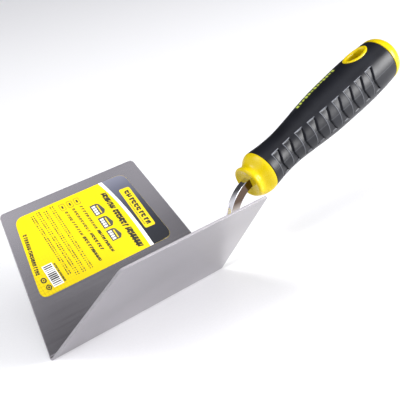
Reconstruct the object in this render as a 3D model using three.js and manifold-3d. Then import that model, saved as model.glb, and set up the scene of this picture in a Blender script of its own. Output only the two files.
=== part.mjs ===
// Inside corner trowel: a folded stainless blade on a cranked tang, with a two-component handle.
// Units are millimetres, +Z is up. The fold of the blade lies along X and is the lowest edge,
// the blade opens upwards, and the handle rises towards +X. The trowel is symmetric about Y = 0,
// apart from the label on one wing. The origin is under the middle of the whole trowel.
import * as THREE from 'three';
import { mergeVertices } from 'three/addons/utils/BufferGeometryUtils.js';
import Module from 'manifold-3d';

const wasm = await Module();
wasm.setup();

// ---------------------------------------------------------------- driving dimensions
// Until the last line, x is measured from the free end of the fold and z from the sharp corner
// where the outer faces of the two wings would meet.
const GAP = 0.3;                    // clearance kept between pieces that touch

const FOLD_LENGTH = 100;
const FOLD_ANGLE = Math.PI / 2;     // between the two wings
const FOLD_RADIUS = 2.5;            // outside radius of the fold
const WING_WIDTH = 75;              // from the fold to the outer edge of a wing
const SHEET = 1.0;                  // thickness of the stainless sheet
const FRONT_SLANT = 16.3;           // how far the free end slants back at the outer edge
const REAR_SLANT = 5.5;             // how far the handle end slants in at the outer edge
const CORNER_RADIUS = 2.5;          // outer corners of the wings

const HANDLE_TILT = 0.3006;         // rise of the handle's axis over the fold, in radians
const SEAM = new THREE.Vector2(136.4, 40.4);  // x, z of that axis where the soft grip starts
const COLLAR_LENGTH = 10.5;         // from the front face of the handle to the grip
const GRIP_LENGTH = 101;
const GRIP_WALL = 2.5;              // thickness of the soft grip
const CAP_LENGTH = 9.5;             // domed end behind the grip

const TANG_WIDTH = 4.2;             // across the trowel
const TANG_HEIGHT = 5.0;            // in the plane of its bends
const TANG_IN_HANDLE = 60;          // length of tang that the handle holds
const NECK_REACH = 8.5;             // from the handle's front face to where the riser would meet
const NECK_RADIUS = 22;
const RISER_TILT = 1.102;           // rise of the riser over the fold, in radians
const FOOT_HEIGHT = 6.3;            // z of the foot's centre line, just clear of the fold
const FOOT_FRONT = 48;              // x where the foot ends inside the fold
const FOOT_RADIUS = 12;

const WELD_LEG = 3.0;               // height of a weld bead on the side of the foot
const WELD_FRONT = 52;
const WELD_REAR = 92;

const HOLE_CENTRE = 86.5;           // distance of the hanging hole behind the front of the grip
const HOLE_LENGTH = 13.5;
const HOLE_WIDTH = 6.5;
const EYELET_LENGTH = 18.0;         // oval rim around the hanging hole
const EYELET_WIDTH = 10.3;
const EYELET_RISE = 0.5;            // how far the rim stands over the grip

const LABEL_THICKNESS = 0.2;
const LABEL_LOW = 27.7;             // distance of its lower edge from the fold
const LABEL_HIGH = 69.8;
const LABEL_FRONT = 11.5;           // x of its two lower corners
const LABEL_REAR = 88.4;
const LABEL_FRONT_SLANT = 9.7;      // how far each upper corner lies inside the lower one, so
const LABEL_REAR_SLANT = 3.3;       // that the ends of the label run along the ends of the wing
const LABEL_CORNER = 5.0;

// Outer radius of the handle against the distance behind the front of the grip: a collar that
// flares towards the grip, then a slim neck, a full palm, and a little less at the end.
const COLLAR_OUTLINE = [
  [-COLLAR_LENGTH, 7.8], [-9.8, 8.7], [-7, 9.3], [-3, 10.7], [0, 11.2],
];
const GRIP_OUTLINE = [
  [0, 11.2], [10, 10.2], [20, 10.1], [31, 11.0], [42, 12.2], [53, 13.1],
  [65, 13.5], [78, 13.8], [91, 13.5], [GRIP_LENGTH, 12.8],
];

// ---------------------------------------------------------------- finishes
const SATIN_STEEL = { color: 0xb9b8bd, roughness: 0.38, metalness: 1.0 };
const BRIGHT_STEEL = { color: 0xd8d8da, roughness: 0.15, metalness: 1.0 };
const WELD_STEEL = { color: 0x8f8c88, roughness: 0.55, metalness: 1.0 };
const YELLOW_PLASTIC = { color: 0xe6d100, roughness: 0.3, metalness: 0.0 };
const BLACK_RUBBER = { color: 0x202329, roughness: 0.55, metalness: 0.0 };
const LABEL_FILM = { color: 0xf2d600, roughness: 0.4, metalness: 0.0 };

// ---------------------------------------------------------------- solids and meshes
const X = new THREE.Vector3(1, 0, 0);
const Y = new THREE.Vector3(0, 1, 0);
const Z = new THREE.Vector3(0, 0, 1);

// A closed three.js geometry as a solid that can be joined and cut.
function solid(geometry) {
  const bare = geometry.clone();
  bare.deleteAttribute('normal');
  bare.deleteAttribute('uv');
  const merged = mergeVertices(bare, 1e-4);
  return new wasm.Manifold(new wasm.Mesh({
    numProp: 3,
    vertProperties: Float32Array.from(merged.attributes.position.array),
    triVerts: Uint32Array.from(merged.index.array),
  }));
}

// A solid as a named mesh with its own material.
function piece(name, body, look) {
  const { vertProperties, triVerts } = body.getMesh();
  const geometry = new THREE.BufferGeometry();
  geometry.setAttribute('position', new THREE.BufferAttribute(vertProperties, 3));
  geometry.setIndex(new THREE.BufferAttribute(triVerts, 1));
  geometry.computeVertexNormals();
  const mesh = new THREE.Mesh(geometry, new THREE.MeshStandardMaterial(look));
  mesh.name = name;
  return mesh;
}

// A flat outline pushed out to the given depth along local Z.
function prism(shape, depth) {
  return new THREE.ExtrudeGeometry(shape, { depth, bevelEnabled: false, curveSegments: 10 });
}

// A polygon of [x, y, radius] corners, where a radius of 0 leaves the corner sharp.
function roundedPolygon(corners) {
  const shape = new THREE.Shape();
  corners.forEach(([x, y, radius], i) => {
    const corner = new THREE.Vector2(x, y);
    const before = new THREE.Vector2(...corners.at(i - 1));
    const after = new THREE.Vector2(...corners[(i + 1) % corners.length]);
    const entry = corner.clone().lerp(before, radius / corner.distanceTo(before));
    const exit = corner.clone().lerp(after, radius / corner.distanceTo(after));
    if (i === 0) shape.moveTo(entry.x, entry.y);
    else shape.lineTo(entry.x, entry.y);
    if (radius > 0) shape.quadraticCurveTo(x, y, exit.x, exit.y);
  });
  shape.closePath();
  return shape;
}

// ---------------------------------------------------------------- blade
const ACROSS = Math.sin(FOLD_ANGLE / 2);
const UP = Math.cos(FOLD_ANGLE / 2);

// A wing's own axes: along the fold, up the wing, and square to it. The third one points into
// the fold on the +Y wing and out of it on the -Y wing.
function wingAxes(side) {
  const upTheWing = new THREE.Vector3(0, side * ACROSS, UP);
  return new THREE.Matrix4().makeBasis(X, upTheWing, X.clone().cross(upTheWing));
}

// A section drawn in the Y-Z plane and pushed out along X.
const ALONG_FOLD = new THREE.Matrix4().makeBasis(Y, Z, X);

// Section of the folded sheet, with the fold rounded inside and outside.
function foldedSection() {
  const centre = FOLD_RADIUS / ACROSS;
  const inner = FOLD_RADIUS - SHEET;
  const right = -FOLD_ANGLE / 2;
  const left = FOLD_ANGLE / 2 - Math.PI;
  const [tipY, tipZ] = [WING_WIDTH * ACROSS, WING_WIDTH * UP];
  const shape = new THREE.Shape();
  shape.moveTo(tipY, tipZ);
  shape.lineTo(tipY - SHEET * UP, tipZ + SHEET * ACROSS);
  shape.absarc(0, centre, inner, right, left, true);
  shape.lineTo(SHEET * UP - tipY, tipZ + SHEET * ACROSS);
  shape.lineTo(-tipY, tipZ);
  shape.absarc(0, centre, FOLD_RADIUS, left, right, false);
  shape.closePath();
  return shape;
}

// The space over one wing's outline, which runs a little past the fold so that two of them meet.
function wingTrim(side) {
  const past = 4;
  const frontStep = FRONT_SLANT * past / WING_WIDTH;
  const rearStep = REAR_SLANT * past / WING_WIDTH;
  const outline = roundedPolygon([
    [-frontStep, -past, 0],
    [FOLD_LENGTH + rearStep, -past, 0],
    [FOLD_LENGTH - REAR_SLANT, WING_WIDTH, CORNER_RADIUS],
    [FRONT_SLANT, WING_WIDTH, CORNER_RADIUS],
  ]);
  const depth = 6 * SHEET;
  return solid(prism(outline, depth).translate(0, 0, -depth / 2).applyMatrix4(wingAxes(side)));
}

function blade() {
  const spare = 10;
  const strip = prism(foldedSection(), FOLD_LENGTH + 2 * spare);
  strip.applyMatrix4(ALONG_FOLD).translate(-spare, 0, 0);
  return piece('blade', solid(strip).intersect(wingTrim(1).add(wingTrim(-1))), SATIN_STEEL);
}

function label() {
  const outline = roundedPolygon([
    [LABEL_FRONT, LABEL_LOW, LABEL_CORNER],
    [LABEL_REAR, LABEL_LOW, LABEL_CORNER],
    [LABEL_REAR - LABEL_REAR_SLANT, LABEL_HIGH, LABEL_CORNER],
    [LABEL_FRONT + LABEL_FRONT_SLANT, LABEL_HIGH, LABEL_CORNER],
  ]);
  const film = prism(outline, LABEL_THICKNESS).translate(0, 0, SHEET + GAP);
  return piece('label', solid(film.applyMatrix4(wingAxes(1))), LABEL_FILM);
}

// ---------------------------------------------------------------- tang
const AXIS = new THREE.Vector2(Math.cos(HANDLE_TILT), Math.sin(HANDLE_TILT));
const FRONT_FACE = SEAM.clone().addScaledVector(AXIS, -COLLAR_LENGTH);

// A curve drawn in the X-Z plane.
class CurveInXZ extends THREE.Curve {
  constructor(path) {
    super();
    this.path = path;
  }

  getPoint(t) {
    const { x, y } = this.path.getPoint(t);
    return new THREE.Vector3(x, 0, y);
  }
}

// Centre line of the tang: a foot in the fold, a bend, a riser, a bend, and a neck in the handle.
// The two bends turn opposite ways.
function tangLine() {
  const neckCorner = FRONT_FACE.clone().addScaledVector(AXIS, -NECK_REACH);
  const riser = new THREE.Vector2(Math.cos(RISER_TILT), Math.sin(RISER_TILT));
  const footCorner = neckCorner.clone();
  footCorner.addScaledVector(riser, (FOOT_HEIGHT - neckCorner.y) / riser.y);
  const footReach = FOOT_RADIUS * Math.tan(RISER_TILT / 2);
  const neckReach = NECK_RADIUS * Math.tan((RISER_TILT - HANDLE_TILT) / 2);
  const neckStart = neckCorner.clone().addScaledVector(riser, -neckReach);
  const tail = FRONT_FACE.clone().addScaledVector(AXIS, TANG_IN_HANDLE);
  const quarter = Math.PI / 2;

  const line = new THREE.Path();
  line.moveTo(FOOT_FRONT, FOOT_HEIGHT);
  line.lineTo(footCorner.x - footReach, FOOT_HEIGHT);
  line.absarc(footCorner.x - footReach, FOOT_HEIGHT + FOOT_RADIUS, FOOT_RADIUS,
    -quarter, RISER_TILT - quarter, false);
  line.lineTo(neckStart.x, neckStart.y);
  line.absarc(neckStart.x + NECK_RADIUS * riser.y, neckStart.y - NECK_RADIUS * riser.x,
    NECK_RADIUS, RISER_TILT + quarter, HANDLE_TILT + quarter, true);
  line.lineTo(tail.x, tail.y);
  return new CurveInXZ(line);
}

function tang() {
  // The section's X lies in the plane of the bends and its Y lies across the trowel.
  const [h, w] = [TANG_HEIGHT / 2, TANG_WIDTH / 2];
  const section = new THREE.Shape([
    new THREE.Vector2(-h, -w), new THREE.Vector2(h, -w),
    new THREE.Vector2(h, w), new THREE.Vector2(-h, w),
  ]);
  const bar = new THREE.ExtrudeGeometry(section, { steps: 90, extrudePath: tangLine() });
  return piece('tang', solid(bar), BRIGHT_STEEL);
}

// A weld bead of triangular section in the corner between the foot of the tang and a wing.
function weld(name, side) {
  const wall = (SHEET + GAP) / ACROSS;
  const near = TANG_WIDTH / 2 + GAP;
  const far = near + WELD_LEG;
  const section = new THREE.Shape([
    new THREE.Vector2(side * near, wall + near),
    new THREE.Vector2(side * far, wall + far),
    new THREE.Vector2(side * near, wall + near + WELD_LEG),
  ]);
  const bead = prism(section, WELD_REAR - WELD_FRONT).applyMatrix4(ALONG_FOLD);
  return piece(name, solid(bead.translate(WELD_FRONT, 0, 0)), WELD_STEEL);
}

// ---------------------------------------------------------------- handle
// The handle's own axes: Z along its axis from the front of the grip, -X up and Y across.
// An outline is a list of points, x the distance along the axis and y the radius.
function smooth(outline, divisions) {
  const curve = new THREE.SplineCurve(outline.map(([t, r]) => new THREE.Vector2(t, r)));
  return curve.getPoints(divisions);
}

const COLLAR_CURVE = smooth(COLLAR_OUTLINE, 8);
const GRIP_CURVE = smooth(GRIP_OUTLINE, 27);

function shifted(outline, rise) {
  return outline.map(({ x, y }) => new THREE.Vector2(x, y + rise));
}

// A body of revolution. The outline runs along the outside from front to back, and then it
// comes back along the inside, or starts and ends on the axis.
function turned(outline) {
  const profile = outline.map(({ x, y }) => new THREE.Vector2(y, x));
  return solid(new THREE.LatheGeometry(profile, 40).rotateX(Math.PI / 2));
}

function onAxis(t) {
  return new THREE.Vector2(t, 0);
}

// An upright oval column through the handle at the hanging hole.
function ovalColumn(length, width) {
  const reach = 20;
  const oval = new THREE.Shape();
  oval.absellipse(HOLE_CENTRE, 0, length / 2, width / 2, 0, 2 * Math.PI);
  const upright = new THREE.Matrix4().makeBasis(Z, Y, X.clone().negate());
  return solid(prism(oval, 2 * reach).translate(0, 0, -reach).applyMatrix4(upright));
}

// The dome that closes the handle: a quarter of an ellipse from the grip to the axis.
function capCurve() {
  const radius = GRIP_OUTLINE.at(-1)[1];
  const dome = new THREE.EllipseCurve(GRIP_LENGTH, 0, CAP_LENGTH, radius, Math.PI / 2, 0, true);
  return dome.getPoints(8);
}

function handleCore() {
  const spool = turned([
    onAxis(-COLLAR_LENGTH), ...COLLAR_CURVE, ...shifted(GRIP_CURVE, -GRIP_WALL), ...capCurve(),
  ]);
  const rim = [
    onAxis(0), ...shifted(GRIP_CURVE, EYELET_RISE), onAxis(GRIP_LENGTH),
  ];
  const eyelet = ovalColumn(EYELET_LENGTH, EYELET_WIDTH).intersect(turned(rim));
  const hole = ovalColumn(HOLE_LENGTH, HOLE_WIDTH);
  const socketLength = TANG_IN_HANDLE + 2 * GAP;
  const socket = new THREE.BoxGeometry(
    TANG_HEIGHT + 2 * GAP, TANG_WIDTH + 2 * GAP, socketLength);
  socket.translate(0, 0, socketLength / 2 - COLLAR_LENGTH - GAP);
  const core = spool.add(eyelet).subtract(hole).subtract(solid(socket));
  return piece('handle_core', core, YELLOW_PLASTIC);
}

function grip() {
  const outside = GRIP_CURVE.slice(1, -1);
  const [front, back] = [GRIP_CURVE[0], GRIP_CURVE.at(-1)];
  const ends = [new THREE.Vector2(GAP, front.y), new THREE.Vector2(back.x - GAP, back.y)];
  const outer = [ends[0], ...outside, ends[1]];
  const inner = shifted(outer, GAP - GRIP_WALL).reverse();
  const sleeve = turned([...outer, ...inner, outer[0]]);
  const window = ovalColumn(EYELET_LENGTH + 2 * GAP, EYELET_WIDTH + 2 * GAP);
  return piece('grip', sleeve.subtract(window), BLACK_RUBBER);
}

// ---------------------------------------------------------------- assembly
const handle = new THREE.Group();
handle.add(handleCore(), grip());
handle.position.set(SEAM.x, 0, SEAM.y);
handle.rotation.y = Math.PI / 2 - HANDLE_TILT;

const pieces = new THREE.Group();
pieces.add(blade(), tang(), weld('weld_left', 1), weld('weld_right', -1), label(), handle);

const trowel = new THREE.Group();
trowel.add(pieces);
trowel.updateMatrixWorld(true);
const box = new THREE.Box3().setFromObject(trowel, true);
pieces.position.set(-(box.min.x + box.max.x) / 2, 0, -box.min.z);

export default trowel;
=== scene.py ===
# %% [markdown]
# # An inside corner trowel
# A drywall finisher runs this trowel down the corner of two walls. A stainless sheet folded to a right
# angle does the smoothing, a cranked steel tang is welded into the fold, and a handle of hard yellow
# plastic with a soft black grip is moulded onto the tang. The frame comes first: it holds the real
# sizes, and everything below is built around it.

# %% Load the frame
import math

import bmesh
import bpy
import numpy as np
from mathutils import Matrix, Vector


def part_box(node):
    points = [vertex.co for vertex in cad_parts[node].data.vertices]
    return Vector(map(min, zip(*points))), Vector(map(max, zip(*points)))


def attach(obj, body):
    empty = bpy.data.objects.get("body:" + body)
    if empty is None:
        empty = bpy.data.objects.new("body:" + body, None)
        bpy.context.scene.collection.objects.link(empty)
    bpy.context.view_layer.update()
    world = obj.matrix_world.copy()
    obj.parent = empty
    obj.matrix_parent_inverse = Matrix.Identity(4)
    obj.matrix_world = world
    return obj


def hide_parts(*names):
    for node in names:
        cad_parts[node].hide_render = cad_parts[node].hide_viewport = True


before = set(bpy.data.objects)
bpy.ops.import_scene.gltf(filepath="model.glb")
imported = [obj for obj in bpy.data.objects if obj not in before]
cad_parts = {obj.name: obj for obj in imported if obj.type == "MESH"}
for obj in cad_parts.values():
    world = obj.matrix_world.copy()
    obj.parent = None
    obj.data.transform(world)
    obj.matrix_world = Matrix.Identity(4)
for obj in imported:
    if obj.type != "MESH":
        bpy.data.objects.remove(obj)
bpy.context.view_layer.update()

print("nodes:", ", ".join(sorted(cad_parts)))

# %% [markdown]
# Every size is in millimetres, measured from the sharp corner where the outsides of the two wings
# would meet at the free end of the fold. One function turns that into metres in the frame. The frame
# says where the corner is: the blade's box starts at the rounded fold, which lies a little inside it.

# %% Sizes shared by several pieces
MM = 0.001
FOLD_LENGTH = 100.0
WING_WIDTH = 75.0
SHEET = 1.0
FOLD_RADIUS = 2.5
FRONT_SLANT = 16.3
REAR_SLANT = 5.5
HALF = math.pi / 4

blade_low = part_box("blade")[0]
CORNER = Vector((blade_low.x, 0.0, blade_low.z - (math.sqrt(2) - 1) * FOLD_RADIUS * MM))


def at(x, y, z):
    """A point given in millimetres from the sharp corner, in the frame's metres."""
    return CORNER + Vector((x, y, z)) * MM


print("corner of the fold at", tuple(round(c / MM, 2) for c in CORNER), "mm")

# %% [markdown]
# Small helpers come next. A mesh is always made from a list of points and faces, so that its object
# stays at the origin and its place is in its mesh. Normals are recalculated after doubles are merged,
# so that every closed piece faces outwards.

# %% Mesh helpers
def mesh_object(name, points, faces, merge=0.0, smooth=True):
    """A new object from points in metres and faces, with its normals pointing out."""
    mesh = bpy.data.meshes.new(name)
    mesh.from_pydata([tuple(p) for p in points], [], faces)
    work = bmesh.new()
    work.from_mesh(mesh)
    if merge > 0:
        bmesh.ops.remove_doubles(work, verts=work.verts, dist=merge)
    bmesh.ops.recalc_face_normals(work, faces=work.faces)
    work.to_mesh(mesh)
    work.free()
    for polygon in mesh.polygons:
        polygon.use_smooth = smooth
    thing = bpy.data.objects.new(name, mesh)
    bpy.context.collection.objects.link(thing)
    return thing


def grid_faces(rows, columns, wrap_rows=False, wrap_columns=False):
    """Quads between neighbours in a grid of rows by columns points."""
    faces = []
    for i in range(rows if wrap_rows else rows - 1):
        for j in range(columns if wrap_columns else columns - 1):
            k = (i + 1) % rows
            m = (j + 1) % columns
            faces.append((i * columns + j, i * columns + m, k * columns + m, k * columns + j))
    return faces


def bevel(thing, width):
    """A rounded edge, this many millimetres wide, wherever two faces meet at more than 34 degrees."""
    rounding = thing.modifiers.new("edges", "BEVEL")
    rounding.width = width * MM
    rounding.segments = 3
    rounding.limit_method = "ANGLE"
    rounding.angle_limit = 0.6
    rounding.harden_normals = True
    return rounding


def settle(thing):
    """Applies an object's modifiers, so that what is left is a plain mesh."""
    graph = bpy.context.evaluated_depsgraph_get()
    plain = bpy.data.meshes.new_from_object(thing.evaluated_get(graph))
    thing.modifiers.clear()
    thing.data = plain
    return thing


print("helpers ready")

# %% [markdown]
# Materials are node trees. One function turns a hex colour into linear light, one adds a node with
# its settings and links, and one starts a material with its shader.

# %% Material helpers
def linear(hex_colour):
    """An sRGB hex colour as linear RGBA."""
    channels = [int(hex_colour[i:i + 2], 16) / 255 for i in (1, 3, 5)]
    light = [c / 12.92 if c <= 0.04045 else ((c + 0.055) / 1.055) ** 2.4 for c in channels]
    return (*light, 1.0)


def add(tree, kind, inputs=None, stops=(), **settings):
    """A node of that kind. inputs maps a socket to its value, or to the socket or node that feeds it. A
    node feeds from its first output. stops are a colour ramp's (position, hex colour) pairs."""
    node = tree.nodes.new(kind)
    for key, value in settings.items():
        setattr(node, key, value)
    for key, value in (inputs or {}).items():
        if isinstance(value, bpy.types.Node):
            value = value.outputs[0]
        if isinstance(value, bpy.types.NodeSocket):
            tree.links.new(value, node.inputs[key])
        else:
            node.inputs[key].default_value = value
    if stops:
        colours = node.color_ramp.elements
        colours.remove(colours[-1])
        colours[0].position = stops[0][0]
        colours[0].color = linear(stops[0][1])
        for position, colour in stops[1:]:
            colours.new(position).color = linear(colour)
    return node


def new_material(name, **sockets):
    """A material with one principled shader, and its tree and shader to build on."""
    material = bpy.data.materials.new(name)
    material.use_nodes = True
    tree = material.node_tree
    tree.nodes.clear()
    shader = add(tree, "ShaderNodeBsdfPrincipled", sockets)
    add(tree, "ShaderNodeOutputMaterial", {"Surface": shader.outputs[0]})
    return material, tree, shader


def coordinates(tree, stretch=(1, 1, 1), turn=(0, 0, 0)):
    """Object coordinates, in metres, turned first and then stretched."""
    place = add(tree, "ShaderNodeTexCoord").outputs["Object"]
    turned = add(tree, "ShaderNodeMapping", {"Vector": place, "Rotation": turn})
    return add(tree, "ShaderNodeMapping", {"Vector": turned, "Scale": stretch})


def dress(thing, material):
    """Gives a finished piece its material and its body."""
    thing.data.materials.clear()
    thing.data.materials.append(material)
    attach(thing, "root")
    return thing


print("material helpers ready")

# %% [markdown]
# ## Blade
# The blade is one sheet of stainless steel, cut with slanted ends, rounded at its corners and pressed
# to a right angle in a brake. A folded sheet follows a rule, so it could be drawn face by face, but
# here Geometry Nodes fold a flat grid: each point keeps its distance along the section, and is laid
# on the fold's arc or on one of the two straight wings.

# %% A tree of nodes with named inputs
class Tree:
    """A Geometry Nodes tree with named number inputs and one geometry output."""

    def __init__(self, name, **sizes):
        self.tree = bpy.data.node_groups.new(name, "GeometryNodeTree")
        self.tree.interface.new_socket("Geometry", in_out="INPUT", socket_type="NodeSocketGeometry")
        for label in sizes:
            self.tree.interface.new_socket(label, in_out="INPUT", socket_type="NodeSocketFloat")
        self.tree.interface.new_socket("Geometry", in_out="OUTPUT", socket_type="NodeSocketGeometry")
        self.sizes = sizes
        self.inputs = add(self.tree, "NodeGroupInput").outputs

    def finish(self, geometry, material):
        """Realizes the result, gives it its material and sends it out."""
        real = add(self.tree, "GeometryNodeRealizeInstances", {"Geometry": geometry})
        clad = add(self.tree, "GeometryNodeSetMaterial", {"Geometry": real, "Material": material})
        add(self.tree, "NodeGroupOutput", {"Geometry": clad})

    def grow(self, name):
        """An object with the tree as its modifier, turned into a plain mesh."""
        thing = bpy.data.objects.new(name, bpy.data.meshes.new(name))
        bpy.context.collection.objects.link(thing)
        modifier = thing.modifiers.new("nodes", "NODES")
        modifier.node_group = self.tree
        for item in self.tree.interface.items_tree:
            if item.in_out == "INPUT" and item.name in self.sizes:
                modifier[item.identifier] = float(self.sizes[item.name])
        return settle(thing)


print("tree helper ready")

# %% [markdown]
# The sheet is fine ground and its rim is sheared, so the blade has two finishes. A picture of brushed
# steel would be the quick way, but it blurs close up. Noise that is stretched along the fold stays
# sharp at every distance, and on Object coordinates it stays with the sheet.

# %% Stainless sheet
# AISI 420 stainless, cold rolled and fine ground. Grinding leaves faint lines along the fold, a few
# tenths of a millimetre apart, which stretch the reflections a little; the tone drifts slowly.
def rolled_stainless():
    material, tree, shader = new_material(
        "rolled stainless steel", Metallic=1.0, **{"Base Color": linear("#b9b6b9")})
    lines = coordinates(tree, stretch=(25, 4500, 4500))
    grain = add(tree, "ShaderNodeTexNoise", {"Vector": lines, "Scale": 1.0, "Detail": 3.0})
    cloud = add(tree, "ShaderNodeTexNoise", {"Vector": coordinates(tree), "Scale": 15.0, "Detail": 1.5})
    tone = add(tree, "ShaderNodeValToRGB", {"Fac": cloud.outputs["Fac"]},
               stops=[(0.3, "#9b989d"), (0.7, "#b9b6bb")])
    tree.links.new(tone.outputs["Color"], shader.inputs["Base Color"])
    rough = add(tree, "ShaderNodeMapRange", {"Value": grain.outputs["Fac"], "From Min": 0.3,
                                             "From Max": 0.7, "To Min": 0.2, "To Max": 0.26})
    tree.links.new(rough.outputs["Result"], shader.inputs["Roughness"])
    return material


# The sheared edges are rougher and scatter the light, so that the outline of the sheet shows pale.
def sheared_edge():
    material, tree, shader = new_material("sheared stainless edge", Metallic=1.0)
    torn = add(tree, "ShaderNodeTexNoise", {"Vector": coordinates(tree), "Scale": 1800.0, "Detail": 2.0})
    tone = add(tree, "ShaderNodeValToRGB", {"Fac": torn.outputs["Fac"]},
               stops=[(0.3, "#9c999d"), (0.7, "#b4b1b5")])
    tree.links.new(tone.outputs["Color"], shader.inputs["Base Color"])
    rough = add(tree, "ShaderNodeMapRange", {"Value": torn.outputs["Fac"], "From Min": 0.3,
                                             "From Max": 0.7, "To Min": 0.6, "To Max": 0.75})
    tree.links.new(rough.outputs["Result"], shader.inputs["Roughness"])
    return material


stainless = rolled_stainless()
edge_steel = sheared_edge()
print("made", stainless.name, "and", edge_steel.name)

# %% Sizes of the fold
ACROSS_STEPS = 161
ALONG_STEPS = 41
ARC_HALF = FOLD_RADIUS * HALF          # half the length of the fold's outside arc
SECTION = WING_WIDTH - FOLD_RADIUS + ARC_HALF
CORNER_RADIUS = 1.8                    # at the outer corners of the wings
FOLD_END_RADIUS = 1.0
CROWDING = 0.13                        # how strongly rows crowd towards both edges of a wing
EDGE_BREAK = 0.22                      # radius that tumbling leaves on the sheared edges
print("outside arc:", round(2 * ARC_HALF, 2), "mm long")


# %% Fold a skin
def fold_tree(depth):
    """The folded sheet's skin at a depth below its outside."""
    t = Tree("folded sheet", **{"Fold length": FOLD_LENGTH, "Wing width": WING_WIDTH,
                                "Outside radius": FOLD_RADIUS, "Depth": depth,
                                "Free end slant": FRONT_SLANT, "Handle end slant": REAR_SLANT,
                                "Corner radius": CORNER_RADIUS, "Fold end radius": FOLD_END_RADIUS})
    tree, size = t.tree, t.inputs
    grid = add(tree, "GeometryNodeMeshGrid", {"Size X": 1.0, "Size Y": 2.0,
                                              "Vertices X": ALONG_STEPS, "Vertices Y": ACROSS_STEPS})
    flat_place = add(tree, "GeometryNodeInputPosition")
    place = add(tree, "ShaderNodeSeparateXYZ", {"Vector": flat_place}).outputs
    along = add(tree, "ShaderNodeMath", {0: place["X"], 1: 0.5}, operation="ADD")
    side = add(tree, "ShaderNodeMath", {0: place["Y"]}, operation="SIGN")

    # Rows crowd towards the outer edge and the fold, where the outline and the section are curved.
    share = add(tree, "ShaderNodeMath", {0: place["Y"]}, operation="ABSOLUTE")
    phase = add(tree, "ShaderNodeMath", {0: share, 1: 2 * math.pi}, operation="MULTIPLY")
    sine = add(tree, "ShaderNodeMath", {0: phase}, operation="SINE")
    wave = add(tree, "ShaderNodeMath", {0: sine, 1: CROWDING}, operation="MULTIPLY")
    crowded = add(tree, "ShaderNodeMath", {0: share, 1: wave}, operation="SUBTRACT")
    reach = add(tree, "ShaderNodeMath", {0: crowded, 1: SECTION}, operation="MULTIPLY")

    # The first part of the reach bends round the arc, and the rest runs straight up the wing.
    arc_half = add(tree, "ShaderNodeMath", {0: size["Outside radius"], 1: HALF}, operation="MULTIPLY")
    bent = add(tree, "ShaderNodeMath", {0: reach, 1: arc_half}, operation="MINIMUM")
    angle = add(tree, "ShaderNodeMath", {0: bent, 1: size["Outside radius"]}, operation="DIVIDE")
    straight = add(tree, "ShaderNodeMath", {0: reach, 1: bent}, operation="SUBTRACT")
    radius = add(tree, "ShaderNodeMath", {0: size["Outside radius"], 1: size["Depth"]},
                 operation="SUBTRACT")
    centre = add(tree, "ShaderNodeMath", {0: size["Outside radius"], 1: math.sqrt(2)},
                 operation="MULTIPLY")
    angle_sine = add(tree, "ShaderNodeMath", {0: angle}, operation="SINE")
    angle_cosine = add(tree, "ShaderNodeMath", {0: angle}, operation="COSINE")
    out_arc = add(tree, "ShaderNodeMath", {0: radius, 1: angle_sine}, operation="MULTIPLY")
    drop = add(tree, "ShaderNodeMath", {0: radius, 1: angle_cosine}, operation="MULTIPLY")
    up_arc = add(tree, "ShaderNodeMath", {0: centre, 1: drop}, operation="SUBTRACT")
    run = add(tree, "ShaderNodeMath", {0: straight, 1: math.sqrt(0.5)}, operation="MULTIPLY")
    out = add(tree, "ShaderNodeMath", {0: out_arc, 1: run}, operation="ADD")
    y = add(tree, "ShaderNodeMath", {0: out, 1: side}, operation="MULTIPLY")
    z = add(tree, "ShaderNodeMath", {0: up_arc, 1: run}, operation="ADD")

    # Height up the wing from the sharp corner, as a length of sheet and as a share of the wing.
    arc_rate = add(tree, "ShaderNodeMath", {0: size["Outside radius"], 1: HALF}, operation="DIVIDE")
    arc_height = add(tree, "ShaderNodeMath", {0: angle, 1: arc_rate}, operation="MULTIPLY")
    height = add(tree, "ShaderNodeMath", {0: straight, 1: arc_height}, operation="ADD")
    part = add(tree, "ShaderNodeMath", {0: height, 1: size["Wing width"]}, operation="DIVIDE")

    # A rounded corner sets the end back by r - sqrt(r * r - d * d), where d is how far into it we are.
    insets = []
    to_top = add(tree, "ShaderNodeMath", {0: size["Wing width"], 1: height}, operation="SUBTRACT")
    for corner, away in ((size["Corner radius"], to_top), (size["Fold end radius"], height)):
        into = add(tree, "ShaderNodeMath", {0: corner, 1: away}, operation="SUBTRACT")
        within = add(tree, "ShaderNodeMath", {0: into, 1: 0.0}, operation="MAXIMUM")
        corner_square = add(tree, "ShaderNodeMath", {0: corner, 1: 2.0}, operation="POWER")
        within_square = add(tree, "ShaderNodeMath", {0: within, 1: 2.0}, operation="POWER")
        rest = add(tree, "ShaderNodeMath", {0: corner_square, 1: within_square}, operation="SUBTRACT")
        root = add(tree, "ShaderNodeMath", {0: rest}, operation="SQRT")
        insets.append(add(tree, "ShaderNodeMath", {0: corner, 1: root}, operation="SUBTRACT"))
    inset = add(tree, "ShaderNodeMath", {0: insets[0], 1: insets[1]}, operation="ADD")
    front = add(tree, "ShaderNodeMath", {0: size["Free end slant"], 1: part, 2: inset},
                operation="MULTIPLY_ADD")
    back = add(tree, "ShaderNodeMath", {0: size["Handle end slant"], 1: part, 2: inset},
               operation="MULTIPLY_ADD")
    end = add(tree, "ShaderNodeMath", {0: size["Fold length"], 1: back}, operation="SUBTRACT")
    length = add(tree, "ShaderNodeMath", {0: end, 1: front}, operation="SUBTRACT")
    x = add(tree, "ShaderNodeMath", {0: along, 1: length, 2: front}, operation="MULTIPLY_ADD")

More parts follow.
